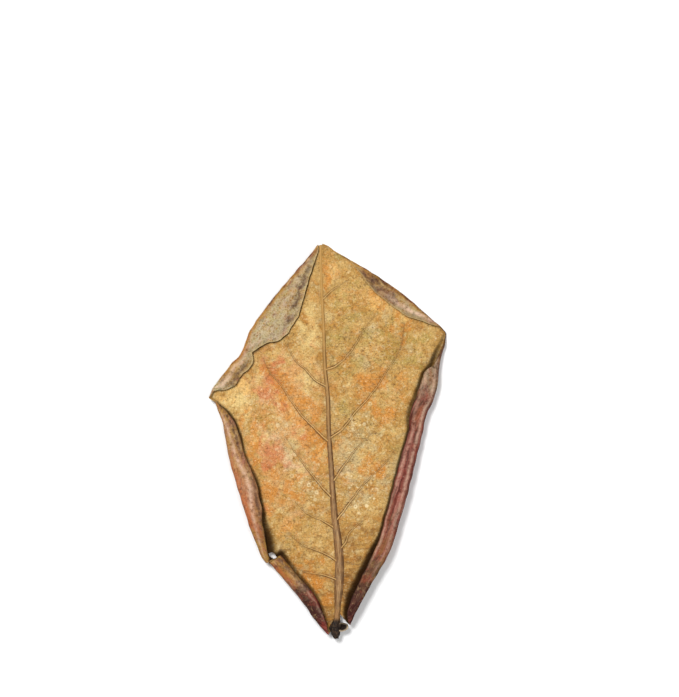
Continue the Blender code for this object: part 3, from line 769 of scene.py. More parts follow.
RIGHT_TINTS = (
    (0, 0.0, 0.0, 0.0, 0.6), (3, 0.0, 0.1, 0.0, 1.1), (5, 0.1, 0.5, 0.0, 1.1),
    (7.5, 0.15, 0.5, 0.1, 0.8), (8.7, 0.1, 0.3, 0.0, 0.3), (18, 0.05, 0.0, 0.0, 0.2),
    (23, 0.1, 0.0, 0.0, 0.3), (25, 0.1, 0.1, 0.0, 0.5), (27, 0.1, 0.1, 0.1, 0.6),
    (29, 0.2, 0.2, 0.4, 0.45), (32, 0.2, 0.5, 0.3, 0.9), (33, 0.1, 0.8, 0.1, 1.3),
    (36, 0.0, 1.0, 0.1, 0.9), (38, 0.1, 1.0, 0.6, 0.3), (42, 0.2, 1.0, 0.6, 0.3),
    (44, 0.0, 1.0, 0.3, 0.9), (48, 0.0, 1.0, 0.1, 0.9), (55, 0.0, 1.0, 0.2, 0.2),
)
print("rows of tints", len(LEFT_TINTS) + len(RIGHT_TINTS))

# %% Stripes along the curls: row, strength, place
# The place is the heading in degrees on a tube, and the distance from the free edge on a flap.
# Pale stripes are partly bloom and partly painted highlight; dusk stripes are partly dark streaks
# and partly painted shade.
LEFT_STRIPES = (
    ("bloom_and_highlight_stripe", (
        (0, 0.1, 215), (2, 0.3, 215), (4, 0.5, 208), (7, 0.5, 200), (9, 0.1, 190), (11, 0.0, 190),
        (12, 0.3, 160), (14.5, 0.8, 160), (16, 0.7, 168), (18.3, 1.1, 168), (20.8, 1.3, 192),
        (22.5, 1.2, 186), (25, 1.0, 172), (26.5, 0.7, 158), (28, 1.1, 150), (29.5, 0.6, 145),
        (31, 0.2, 130), (32, 1.2, 2.0), (34, 1.3, 2.5), (35, 0.9, 4.5), (37.5, 0.6, 5.0),
        (39, 0.5, 4.0), (42, 0.5, 2.5), (44, 0.4, 1.5), (47, 0.1, 7.5), (50, 0.3, 5.5),
        (53, 0.2, 3.5), (55, 0.1, 2.0),
    )),
    ("dusk_and_shade_stripe", (
        (0, 0.3, 235), (6, 0.4, 150), (7.5, 0.3, 215), (9, 0.8, 205), (11, 0.9, 205),
        (14, 0.3, 240), (16.5, 0.5, 235), (17.5, 1.0, 214), (19.0, 0.9, 216), (20.8, 0.6, 226),
        (22.5, 0.0, 240), (24, 0.1, 230), (26, 0.8, 204), (28, 1.1, 200), (30, 1.1, 198),
        (31, 0.7, 210), (32, 0.0, 2.0), (34, 0.0, 1.5), (35, 0.7, 1.5), (37.5, 0.9, 2.0),
        (39, 0.1, 2.5), (43.5, 0.1, 3.0), (45.5, 0.9, 3.0), (47, 1.0, 3.2), (50, 1.0, 2.8),
        (53, 0.5, 2.0), (55, 0.0, 1.0),
    )),
    ("rust", (
        (6.5, 0.0, 150), (8, 0.8, 145), (9.5, 1.0, 140), (10.5, 0.7, 110), (12, 0.1, 110),
        (14.5, 0.4, 200), (17, 1.5, 128), (19, 1.6, 128), (21.5, 1.3, 120), (24, 0.8, 112),
        (26, 0.5, 105), (31, 0.2, 100), (32, 0.0, 9.0), (36, 0.0, 9.0), (55, 0.0, 9.0),
    )),
)
RIGHT_STRIPES = (
    ("bloom_and_highlight_stripe", (
        (0, 0.0, 150), (6, 0.2, 150), (8.5, 0.4, 150), (12, 0.65, 152), (15.6, 0.65, 150),
        (19.1, 0.85, 155), (22.6, 0.85, 153), (25.2, 1.0, 146), (27.9, 0.9, 142), (31, 0.7, 150),
        (33, 0.1, 160), (35, 0.0, 200), (36, 0.3, 1.0), (38, 1.3, 2.2), (41, 1.4, 3.0),
        (43.5, 0.9, 2.4), (45.5, 0.2, 2.0), (48, 0.0, 2.0), (55, 0.0, 1.0),
    )),
    ("bloom_and_highlight_stripe", (
        (0, 0.0, 225), (7, 0.2, 227), (8.5, 0.6, 227), (12, 0.65, 225), (15.6, 0.5, 234),
        (19.1, 0.55, 217), (22.6, 0.6, 207), (25.2, 0.4, 203), (27.9, 0.4, 222), (30, 0.8, 215),
        (32.5, 0.7, 220), (34, 0.0, 220), (36, 0.0, 0.0), (55, 0.0, 0.0),
    )),
    ("dusk_and_shade_stripe", (
        (0, 0.4, 235), (3, 0.6, 200), (6, 0.5, 185), (8, 0.1, 185), (20, 0.0, 180),
        (22.6, 0.4, 178), (25.2, 0.4, 190), (27, 0.7, 192), (29, 0.4, 178), (31, 0.1, 130),
        (33, 0.9, 150), (35, 0.9, 150), (36, 0.5, 1.0), (38, 0.6, 0.4), (42, 0.7, 0.5),
        (44, 0.5, 3.5), (46.5, 0.8, 3.0), (48, 0.7, 2.0), (50, 0.5, 1.5), (55, 0.0, 1.0),
    )),
    ("dusk_and_shade_stripe", (
        (0, 0.0, 105), (8, 0.4, 105), (12, 0.7, 108), (31, 0.7, 108), (35, 0.4, 105),
        (36, 0.0, 9.0), (55, 0.0, 9.0),
    )),
    ("rust", (
        (23.5, 0.0, 180), (24.5, 0.5, 175), (26.0, 0.4, 172), (27.0, 0.0, 170), (35, 0.0, 170),
        (36, 0.0, 9.0), (55, 0.0, 9.0),
    )),
)

# Each stripe's spread, on a flap in millimetres and on a tube in degrees
STRIPE_SPREADS = {"bloom_and_highlight_stripe": (0.9, 13.0), "dusk_and_shade_stripe": (1.25, 18.0), "rust": (1.5, 36.0)}
print("stripes", len(LEFT_STRIPES) + len(RIGHT_STRIPES))

# %% Where painted shade begins on the wall that turns down to the face: row, heading in degrees
LEFT_WALL_SHADE = (
    (0, 232), (8, 228), (12, 225), (17, 232), (20, 245), (24, 245), (27, 228), (31, 215), (55, 215),
)
RIGHT_WALL_SHADE = (
    (0, 215), (8, 225), (10, 240), (18, 240), (24, 228), (27, 238), (31, 240), (34, 215), (55, 215),
)
WALL_SHADE_TURN = math.radians(38)

# %% Along the outer edge of each flap: row, darkness, rust
LEFT_EDGES = (
    (33, 0.1, 0.2), (35.5, 0.1, 0.35), (36.5, 0.4, 0.1), (38, 0.1, 0.4), (41, 0.0, 0.45),
    (43, 0.3, 0.2), (46, 0.8, 0.1), (50, 0.8, 0.0), (55, 0.3, 0.0),
)
# On the right flap this darkness is partly the flap's olive-brown and partly painted shade where
# the fold turns away.
RIGHT_EDGES = (
    (35, 0.2, 0.0), (37, 0.9, 0.0), (43, 1.1, 0.0), (45, 0.5, 0.0), (49, 0.5, 0.0), (55, 0.2, 0.0),
)
LEFT_LOOKS = (LEFT_TINTS, LEFT_STRIPES, LEFT_WALL_SHADE, LEFT_EDGES)
RIGHT_LOOKS = (RIGHT_TINTS, RIGHT_STRIPES, RIGHT_WALL_SHADE, RIGHT_EDGES)

# %% Numbers across and along the curls
# The outer edge of a flap and its free edge: from where to where, beyond the crease and in rows
FOLD_REACH = (3.0, 5.5)
FOLD_ROWS = (33.5, 36.0)
FOLD_OCHRE = 0.9
EDGE_FADE = 0.5
EDGE_ROWS = (36.0, 38.0)
CURL_INSIDE_SHADE_REACH = (0.3, 2.2)

# A stripe starts this far beyond the crease, by row, and fades in over STRIPE_FADE millimetres
STRIPE_ROWS = (34.0, 37.0)
STRIPE_STARTS = (0.5, 2.0)
STRIPE_FADE = 2.0


def stripe(half, table, spread):
    """A soft stripe along the curl: strength times exp(-((across - place) / spread)^2).

    It fades in beyond the crease, and on a flap further from it than on a tube.
    """
    table = np.array(table)
    strength = np.interp(half["row"], table[:, 0], table[:, 1])
    place = np.interp(half["row"], table[:, 0], table[:, 2])
    on_tube = half["tube"] > 0.5
    across = np.where(on_tube, np.degrees(half["heading"]), half["to_edge"])
    wide = np.where(on_tube, spread[1], spread[0])
    start = np.interp(half["row"], STRIPE_ROWS, STRIPE_STARTS)
    fade = soft_step(half["beyond"], start, start + STRIPE_FADE)
    return strength * np.exp(-(((across - place) / wide) ** 2)) * fade


def curl_values(half, tints, stripes, wall_shade, edges):
    """Tints along the side, and what changes across the curl."""
    tints, wall_shade, edges = np.array(tints), np.array(wall_shade), np.array(edges)
    names = ("rose", "ochre", "grey_skin", "dark")
    values = {}
    for name, amounts in zip(names, tints[:, 1:].T):
        values[name] = np.interp(half["row"], tints[:, 0], amounts)
    flap, to_edge = 1.0 - half["tube"], np.maximum(half["to_edge"], 0.0)
    fold = (1.0 - soft_step(half["beyond"], *FOLD_REACH)) * flap
    fold = fold * soft_step(half["row"], *FOLD_ROWS)
    values["ochre"] = np.maximum(values["ochre"], FOLD_OCHRE * fold)
    values["grey_skin"] = values["grey_skin"] * (1.0 - fold)
    edge_dark = fold * np.interp(half["row"], edges[:, 0], edges[:, 1])
    values["dark"] = np.maximum(values["dark"], edge_dark)
    # Painted shade on the wall of a tube, from the heading where it turns down to the face
    wall_start = np.radians(np.interp(half["row"], wall_shade[:, 0], wall_shade[:, 1]))
    values["wall_shade"] = soft_step(half["heading"], wall_start, wall_start + WALL_SHADE_TURN) * half["tube"]
    for name, table in stripes:
        found = stripe(half, table, STRIPE_SPREADS[name])
        values[name] = np.maximum(values.get(name, 0.0), found)
    edge_rust = fold * np.interp(half["row"], edges[:, 0], edges[:, 2])
    values["rust"] = np.maximum(values["rust"], edge_rust)
    values["edge"] = np.exp(-to_edge / EDGE_FADE) * soft_step(half["row"], *EDGE_ROWS)
    # Painted shade inside each curl: the underside beyond the crease turns dark brown.
    values["curl_inside_shade"] = soft_step(half["beyond"], *CURL_INSIDE_SHADE_REACH)
    return values


# %% Make the two halves of the blade
ROW_LENGTH = 3.8
FLAT_SCALE = 0.01
OPEN_FACE_FADE = 2.0


def make_half(name, half, outward, looks, torn):
    """One half of the blade as a closed sheet, with its stored numbers and its flat map."""
    lower, upper = surfaces(half, outward)
    if outward < 0:
        lower, upper, torn = lower[:, ::-1], upper[:, ::-1], torn[:, ::-1]
        half = {key: value[:, ::-1] for key, value in half.items()}
    points, quads, kinds = thick_sheet(upper, lower, ~torn)
    used = np.unique(quads)
    renumber = np.zeros(len(points), dtype=int)
    renumber[used] = np.arange(len(used))
    piece = make_piece(name, points[used], renumber[quads].tolist())
    piece.data.polygons.foreach_set("material_index", kinds)

    open_face = 1.0 - soft_step(half["beyond"], 0.0, OPEN_FACE_FADE)
    values = {key: value * open_face for key, value in face_values(half["x"], half["y"]).items()}
    values.update(curl_values(half, *looks))
    values = {key: np.tile(value.ravel(), 2)[used] for key, value in values.items()}
    point_values(piece, values)

    flat_map = piece.data.uv_layers.new(name="flat_leaf")
    corner_points = np.zeros(len(piece.data.loops), dtype=np.int32)
    piece.data.loops.foreach_get("vertex_index", corner_points)
    across = (half["beyond"] * outward).ravel()
    lengthwise = (half["row"] * ROW_LENGTH).ravel()
    flat_place = np.column_stack((across, lengthwise)) * FLAT_SCALE
    flat_place = np.tile(flat_place, (2, 1))[used]
    flat_map.data.foreach_set("uv", flat_place[corner_points].astype(np.float32).ravel())
    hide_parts("leaf")
    return piece


blade_left = make_half("blade_left", left_half, -1, LEFT_LOOKS, left_torn)
blade_right = make_half("blade_right", right_half, 1, RIGHT_LOOKS, right_torn)

# %% [markdown]
# ## Veins
#
# The veins stand up from the underside. Bump alone could draw them, but seen from the side the
# midrib has real height, so each vein is a closed bar carried along a path on the blade. Its middle
# is a raised bell, its flanks lie flush with the blade and carry the dark line that runs beside a
# vein, its base is sunk in the blade and its ends are capped. The dark line is partly the vein's
# colour and partly painted shade, and the pale top is partly painted highlight.

# %% A bar along a path
BAR_LIFT = 0.03
BAR_SINK = 0.2
BORDER_DIP = 0.08
BAR_GROOVE = 0.1
BAR_UNREST = 0.12


def bar(places, half_width, height, profile, ridges=0, seed=0):
    """Rings of a bar that lies on the blade. The profile gives t across it and the height there."""
    heading = np.gradient(places, axis=0)
    heading /= np.linalg.norm(heading, axis=1)[:, None]
    side = np.column_stack((heading[:, 1], -heading[:, 0]))
    t, raised = np.array(profile).T
    groove = 1.0 + BAR_GROOVE * np.cos(ridges * np.pi * t) * (ridges > 0)
    unrest = 1.0 + BAR_UNREST * waves(places[:, 0], places[:, 1], 4.0, seed)
    flat = places[:, None, :] + side[:, None, :] * (half_width[:, None] * t)[:, :, None]
    x, y = flat[:, :, 0], flat[:, :, 1]
    top = face_height(x, y) + BAR_LIFT + height[:, None] * unrest[:, None] * raised * groove
    rings = np.dstack((x, y, top))
    rings[:, [0, -1], 2] -= BORDER_DIP
    x, y = x[:, [-1, 0]], y[:, [-1, 0]]
    base = np.dstack((x, y, face_height(x, y) - BAR_SINK))
    return np.concatenate((rings, base), axis=1)


def close_rings(rings):
    """Points and faces of a closed tube: quads between neighbouring rings and a cap at each end."""
    count, around = rings.shape[:2]
    number = np.arange(count * around).reshape(count, around)
    after = np.roll(number, -1, axis=1)
    quads = np.stack((number[:-1], number[1:], after[1:], after[:-1]), axis=-1).reshape(-1, 4)
    caps = [number[0].tolist(), number[-1, ::-1].tolist()]
    return rings.reshape(-1, 3), quads.tolist() + caps


def gather(parts):
    """One array of points and one list of faces from several closed tubes."""
    points, faces, start = [], [], 0
    for part_points, part_faces in parts:
        points.append(part_points)
        faces += [[number + start for number in face] for face in part_faces]
        start += len(part_points)
    return np.concatenate(points), faces


# %% The midrib
RIB_LENGTHWISE = 330
RIB_ACROSS = 31
RIB_WIDEST = 24.0
RIB_WIDE_REACH = 16.0
RIB_HEIGHT_SHARE = 0.9
rib_t = np.linspace(-1.0, 1.0, RIB_ACROSS)
rib_profile = np.column_stack((rib_t, ((1.0 + np.cos(np.pi * rib_t)) / 2.0) ** 0.7))
rib_places, _, _ = along(rib_table[:, :2], RIB_LENGTHWISE)

# The midrib is widest a little above its foot, and thins again towards the foot itself
rib_swell = 1.12 + 0.25 * np.exp(-(((rib_places[:, 1] - RIB_WIDEST) / RIB_WIDE_REACH) ** 2))
rib_swell *= 0.62 + 0.38 * soft_step(rib_places[:, 1], -1.0, 13.0)
rib_half = np.interp(rib_places[:, 1], rib_table[:, 1], rib_table[:, 2]) * rib_swell
rib_high = np.interp(rib_places[:, 1], rib_table[:, 1], rib_table[:, 3]) * RIB_HEIGHT_SHARE
rib_rings = bar(rib_places, rib_half, rib_high, rib_profile, ridges=5, seed=11)
midrib = make_piece("midrib", *close_rings(rib_rings))

# The marks across the bar place dark side lines (partly painted shade) and a pale ridge (partly
# painted highlight)
rib_line_mark = soft_step(np.abs(rib_t), 0.45, 0.75) * (0.85 + 0.15 * np.sign(rib_t))
rib_line_mark = np.maximum(rib_line_mark, 0.5 * soft_step(rib_t, 0.15, 0.5))
rib_line_mark = np.maximum(rib_line_mark, 0.6 * np.exp(-(((rib_t + 0.3) / 0.09) ** 2)))
rib_middle_mark = np.exp(-(((rib_t + 0.05) / 0.14) ** 2))
rib_middle_mark = rib_middle_mark + 0.4 * np.exp(-(((rib_t - 0.35) / 0.1) ** 2))
point_values(midrib, {
    "line": np.tile(np.concatenate((rib_line_mark, (1.0, 1.0))), RIB_LENGTHWISE),
    "ridge": np.tile(np.concatenate((rib_middle_mark, (0.0, 0.0))), RIB_LENGTHWISE),
    "lengthwise": np.repeat(np.linspace(0.0, 1.0, RIB_LENGTHWISE), RIB_ACROSS + 2),
})

# %% The side veins
VEIN_HALF = 0.95
VEIN_HIGH = 0.48
VEIN_STEP = 0.6
VEIN_PROFILE = (
    (-1.0, 0.0), (-0.8, 0.0), (-0.6, 0.02), (-0.4, 0.3), (-0.2, 0.9), (0.0, 1.0), (0.2, 0.9),
    (0.4, 0.3), (0.6, 0.02), (0.8, 0.0), (1.0, 0.0),
)
# Across a vein: the dark line, partly painted shade, and the pale ridge, partly painted highlight
VEIN_LINE = (0.2, 0.8, 1.0, 0.9, 0.0, 0.0, 0.0, 0.6, 0.7, 0.3, 0.0, 0.0, 0.0)
VEIN_RIDGE = (0.0, 0.0, 0.0, 0.0, 0.9, 1.0, 0.9, 0.2, 0.0, 0.0, 0.0, 0.0, 0.0)


def vein_piece(name, paths, half, high, step, end_share, dark):
    """All the bars along the paths as one piece, with the marks of line, ridge, stains and painted
    shade.
    """
    parts, line, ridge = [], [], []
    for number, path in enumerate(paths):
        length = along(path, 2)[2][-1]
        places, _, _ = along(path, max(int(length / step), 6))
        level = np.zeros(len(places))
        wander = 0.25 * waves(np.arange(len(places)) * step, level, 7.0, 200 + number)
        places = places + np.column_stack((wander, level))
        fade = np.linspace(1.0, end_share, len(places))
        rings = bar(places, half * fade, high * fade, VEIN_PROFILE, seed=30 + number)
        parts.append(close_rings(rings))
        line.append(np.outer((0.4 + 0.6 * fade) * dark, VEIN_LINE).ravel())
        ridge.append(np.outer(fade, VEIN_RIDGE).ravel())
    points, faces = gather(parts)
    piece = make_piece(name, points, faces)
    values = face_values(points[:, 0], points[:, 1])
    values["line"] = np.concatenate(line)
    values["ridge"] = np.concatenate(ridge)
    point_values(piece, values)
    return piece


side_veins = vein_piece(
    "side_veins", SIDE_VEINS, VEIN_HALF, VEIN_HIGH, VEIN_STEP, end_share=0.3, dark=1.0,
)

# %% [markdown]
# Between the side veins run thinner rungs, nearly level. There are too many to place by hand, so
# they are drawn by a rule: evenly spaced from a side vein inwards to the next one up, each sagging
# and wavering a little. The net of veinlets between them is finer still, and the material draws it.

# %% The cross veins
RUNG_HALF = 0.3
RUNG_HIGH = 0.05
RUNG_STEP = 0.9
RUNG_EVERY = 4.2
RUNG_RISE = 1.5
RUNG_SAG = 0.7
VEIN_PLACES = 80


def rung(start, end, seed):
    """A path from start to end that sags towards the foot and wavers."""
    share = np.linspace(0.0, 1.0, 12)
    places = start + (end - start) * share[:, None]
    waver = 0.6 * waves(places[:, 0], places[:, 1], 6.0, seed)
    places[:, 1] += (waver - RUNG_SAG) * np.sin(np.pi * share)
    return places


def rungs_between(lower_vein, upper_vein, seed):
    """Nearly level rungs from the lower side vein inwards to the upper one, or to the midrib."""
    lower_places, _, lower_distance = along(lower_vein, VEIN_PLACES)
    upper_places, _, _ = along(upper_vein, VEIN_PLACES)
    inner = np.concatenate((rib_line[rib_line[:, 1] < upper_places[0, 1]], upper_places))
    found = []
    for number in range(1, int(lower_distance[-1] / RUNG_EVERY) + 1):
        share = number * RUNG_EVERY / lower_distance[-1]
        start = lower_places[int((VEIN_PLACES - 1) * share)]
        end = inner[np.argmin(np.abs(inner[:, 1] - start[1] - RUNG_RISE))]
        found.append(rung(start, end, seed + number))
    return found


rungs = []
for side_number, veins in enumerate((SIDE_VEINS[:RIGHT_VEINS], SIDE_VEINS[RIGHT_VEINS:])):
    for vein_number in range(len(veins) - 1):
        seed = 1000 + 100 * side_number + 12 * vein_number
        rungs += rungs_between(veins[vein_number], veins[vein_number + 1], seed)
cross_veins = vein_piece(
    "cross_veins", rungs, RUNG_HALF, RUNG_HIGH, RUNG_STEP, end_share=0.3, dark=0.45,
)
print("cross veins", len(rungs))

# %% [markdown]
# ## The stalk
#
# Only a stub of the stalk is left, dark and split at its end, with the swollen, cupped scar beside
# it where the leaf came off the twig. Both could be sculpted, but they are small, and two formulas
# do. The stub is a tube whose radius changes along it and round it. The scar is a ball whose top is
# pushed in: its wall turns over a lip and down into a hollow.

# %% The stub
STALK = (
    (0.3, 9.0, 0.4), (0.0, 0.0, 0.8), (-0.3, -3.4, 0.9), (-0.9, -6.0, 1.3), (-1.2, -8.6, 1.35),
    (-0.9, -10.6, 1.1), (-0.6, -12.2, 0.8),
)
STALK_RADIUS = 1.7
STALK_LIFT = 0.9
STALK_SIDES = 48
SPLIT_LENGTH = 1.6
stalk_table = np.array(STALK)
stalk_places, _, stalk_distance = along(stalk_table[:, :2], 90)
stalk_size = np.interp(-stalk_places[:, 1], -stalk_table[:, 1], stalk_table[:, 2]) * STALK_RADIUS
stalk_turn = np.linspace(0.0, 2.0 * np.pi, STALK_SIDES, endpoint=False)
around, down = np.meshgrid(stalk_turn, stalk_distance)
bark = 1.0 + 0.06 * np.cos(7 * around + 0.3 * down)
bark = bark + 0.2 * waves(3.0 * np.cos(around) + 0.7 * down, 3.0 * np.sin(around), 3.4, 77)
split = soft_step(down, stalk_distance[-1] - SPLIT_LENGTH, stalk_distance[-1])
bark *= 1.0 - split * (0.35 + 0.3 * waves(6.0 * np.cos(around), 6.0 * np.sin(around), 4.0, 78))
torn_end = 0.4 * split * waves(6.0 * np.cos(around), 6.0 * np.sin(around), 3.0, 79)
stalk_r = stalk_size[:, None] * bark
stalk_x = stalk_places[:, 0, None] + stalk_r * np.cos(around)
stalk_y = stalk_places[:, 1, None] + torn_end
stalk_z = lie(stalk_places[:, 0], stalk_places[:, 1])[:, None] + STALK_LIFT
stalk_z = stalk_z + stalk_r * np.sin(around)
stalk = make_piece("stalk", *close_rings(np.dstack((stalk_x, stalk_y, stalk_z))))
point_values(stalk, {"rib_end": soft_step(stalk_y, -4.5, -2.0)})

# %% The cupped scar
SCAR_CENTRE = (2.2, -7.0)
SCAR_REACH = (3.0, 2.0, 1.6)
SCAR_TURN = math.radians(12)
SCAR_LIP = 0.7
SCAR_LIP_ANGLE = math.radians(112)
SCAR_HOLLOW = 0.95
scar_climb = np.linspace(0.02, 0.98, 34)
scar_turn = np.linspace(0.0, 2.0 * np.pi, 44, endpoint=False)
climb, around = np.meshgrid(scar_climb, scar_turn, indexing="ij")
angle = SCAR_LIP_ANGLE * np.minimum(climb / SCAR_LIP, 1.0)
inward = np.clip((climb - SCAR_LIP) / (1.0 - SCAR_LIP), 0.0, 1.0)
ball_r = np.sin(angle) * (1.0 - inward)
ball_z = -np.cos(angle) - SCAR_HOLLOW * soft_step(inward, 0.1, 1.0)
lumpy = 1.0 + 0.1 * waves(3.0 * np.cos(around), 3.0 * np.sin(around) + 2.0 * climb, 3.0, 91)
east = SCAR_REACH[0] * ball_r * np.cos(around) * lumpy
north = SCAR_REACH[1] * ball_r * np.sin(around) * lumpy
scar_x = SCAR_CENTRE[0] + east * math.cos(SCAR_TURN) - north * math.sin(SCAR_TURN)
scar_y = SCAR_CENTRE[1] + east * math.sin(SCAR_TURN) + north * math.cos(SCAR_TURN)
scar_z = lie(*np.array(SCAR_CENTRE)) + STALK_LIFT + SCAR_REACH[2] * ball_z * lumpy
scar_points, scar_faces = close_rings(np.dstack((scar_x, scar_y, scar_z)))
scar = make_piece("stalk_scar", scar_points, [face[::-1] for face in scar_faces], smooth_below=80.0)
lower_side = 0.25 + 0.75 * soft_step(-np.sin(around), -0.3, 0.5)
lip_mark = lower_side * np.exp(-(((climb - SCAR_LIP) / 0.06) ** 2))
point_values(scar, {"lip": lip_mark})

# %% [markdown]
# ## Materials
#
# A painted picture would fix the colours at one size. Here a material is a chain of nodes: a ground
# colour, then one layer of colour after another, each let through by a mask. A mask is a noise, or
# a number stored on the points times a noise, so that no patch has a smooth border. A few helpers
# keep the chains readable.


# %% Helpers for shader nodes
def start_material(name, roughness, specular):
    """A new material with its shader, and its node tree."""
    material = bpy.data.materials.new(name)
    material.use_nodes = True
    shader = material.node_tree.nodes["Principled BSDF"]
    shader.inputs["Roughness"].default_value = roughness
    shader.inputs["Specular IOR Level"].default_value = specular
    return material, material.node_tree, shader


def object_place(tree, stretch=(1.0, 1.0, 1.0), shift=0.0):
    """Places in the frame, in metres, stretched and shifted."""
    mapping = tree.nodes.new("ShaderNodeMapping")
    mapping.inputs["Scale"].default_value = stretch
    mapping.inputs["Location"].default_value = (shift, shift, shift)
    tree.links.new(tree.nodes.new("ShaderNodeTexCoord").outputs["Object"], mapping.inputs["Vector"])
    return mapping.outputs["Vector"]


def flat_place_of(tree, across_scale, along_scale, shift):
    """Places on the leaf as if it were unrolled, stretched to make streaks, and shifted."""
    uv = tree.nodes.new("ShaderNodeUVMap")
    uv.uv_map = "flat_leaf"
    mapping = tree.nodes.new("ShaderNodeMapping")
    mapping.inputs["Scale"].default_value = (across_scale, along_scale, 1.0)
    mapping.inputs["Location"].default_value = (shift, shift, shift)
    tree.links.new(uv.outputs["UV"], mapping.inputs["Vector"])
    return mapping.outputs["Vector"]


def noise(tree, place, scale, detail=4.0, roughness=0.6, distortion=0.0):
    """A cloudy noise, about 0.3 to 0.7, with about as many lumps in a metre as its scale."""
    node = tree.nodes.new("ShaderNodeTexNoise")
    node.inputs["Scale"].default_value = scale
    node.inputs["Detail"].default_value = detail
    node.inputs["Roughness"].default_value = roughness
    node.inputs["Distortion"].default_value = distortion
    tree.links.new(place, node.inputs["Vector"])
    return node.outputs["Fac"]


def cells(tree, place, scale):
    """Distance to the border of irregular cells, about as many in a metre as their scale."""
    node = tree.nodes.new("ShaderNodeTexVoronoi")
    node.feature = "DISTANCE_TO_EDGE"
    node.inputs["Scale"].default_value = scale
    tree.links.new(place, node.inputs["Vector"])
    return node.outputs["Distance"]


def stored(tree, name):
    """A number stored on the points."""
    node = tree.nodes.new("ShaderNodeAttribute")
    node.attribute_name = name
    return node.outputs["Fac"]


def ramp(tree, value, start, end, low=0.0, high=1.0):
    """The value taken from start..end to low..high, with soft ends and no more beyond them."""
    node = tree.nodes.new("ShaderNodeMapRange")
    node.interpolation_type = "SMOOTHSTEP"
    node.inputs["From Min"].default_value = start
    node.inputs["From Max"].default_value = end
    node.inputs["To Min"].default_value = low
    node.inputs["To Max"].default_value = high
    tree.links.new(value, node.inputs["Value"])
    return node.outputs["Result"]


def combine(tree, operation, *values):
    """The values, each a socket or a number, put through the operation one after another."""
    result = values[0]
    for value in values[1:]:
        node = tree.nodes.new("ShaderNodeMath")
        node.operation = operation
        for socket, term in zip(node.inputs, (result, value)):
            if isinstance(term, (int, float)):
                socket.default_value = term
            else:
                tree.links.new(term, socket)
        result = node.outputs["Value"]
    return result


def layer(tree, below, colour, mask):
    """The colour laid over what is below, as far as the mask lets it through."""
    node = tree.nodes.new("ShaderNodeMix")
    node.data_type = "RGBA"
    if isinstance(below, tuple):
        node.inputs[6].default_value = (*below, 1.0)
    else:
        tree.links.new(below, node.inputs[6])
    node.inputs[7].default_value = (*colour, 1.0)
    tree.links.new(mask, node.inputs[0])
    return node.outputs[2]


def stain(tree, below, colour, *factors):
    """The colour laid over what is below, let through by the product of the factors."""
    return layer(tree, below, colour, combine(tree, "MULTIPLY", *factors))


def bump(tree, shader, height, distance, strength, under=None):
    """Roughens the shader's surface by the height, after an earlier bump if there is one."""
    node = tree.nodes.new("ShaderNodeBump")
    node.inputs["Distance"].default_value = distance
    node.inputs["Strength"].default_value = strength
    tree.links.new(height, node.inputs["Height"])
    if under is not None:
        tree.links.new(under, node.inputs["Normal"])
    tree.links.new(node.outputs["Normal"], shader.inputs["Normal"])
    return node.outputs["Normal"]


# %% [markdown]
# ### The underside
#
# Tan, between pale straw and ochre, with the stains laid over it: orange, brick pink, gold, pale,
# grey and olive. Over them come the speckle of dead tissue, small pale rings left by spots of
# mildew, and the darker lines along the veins, partly their colour and partly painted shade. Then
# comes painted shade: a soft darkening near the curls, the dark inside of each curl, and the
# shadows that the curls throw on the face. Each is a layer of its own, so one can be weakened
# without touching the rest. Three sizes of bump, one in another, make it dry and papery.

# %% The underside's colours
TAN = (0.49, 0.275, 0.072)
STRAW = (0.60, 0.375, 0.125)
OCHRE = (0.43, 0.19, 0.032)
ORANGE_COLOUR = (0.60, 0.235, 0.038)
PINK_COLOUR = (0.56, 0.175, 0.07)
PEACH = (0.66, 0.335, 0.13)
AMBER_COLOUR = (0.72, 0.31, 0.065)
HAZE_COLOUR = (0.72, 0.50, 0.28)
GOLD_COLOUR = (0.86, 0.53, 0.17)
PALE_COLOUR = (0.74, 0.53, 0.21)
OLIVE_COLOUR = (0.40, 0.285, 0.07)
GREY_TAN = (0.53, 0.405, 0.20)
BASE_BROWN = (0.24, 0.105, 0.022)
SPECK = (0.12, 0.055, 0.016)
CREAM = (0.84, 0.69, 0.40)
VEIN_GOLD = (0.66, 0.41, 0.155)
BROWN_LINE_AND_SHADE = (0.075, 0.027, 0.007)
SHADOW = (0.020, 0.008, 0.003)


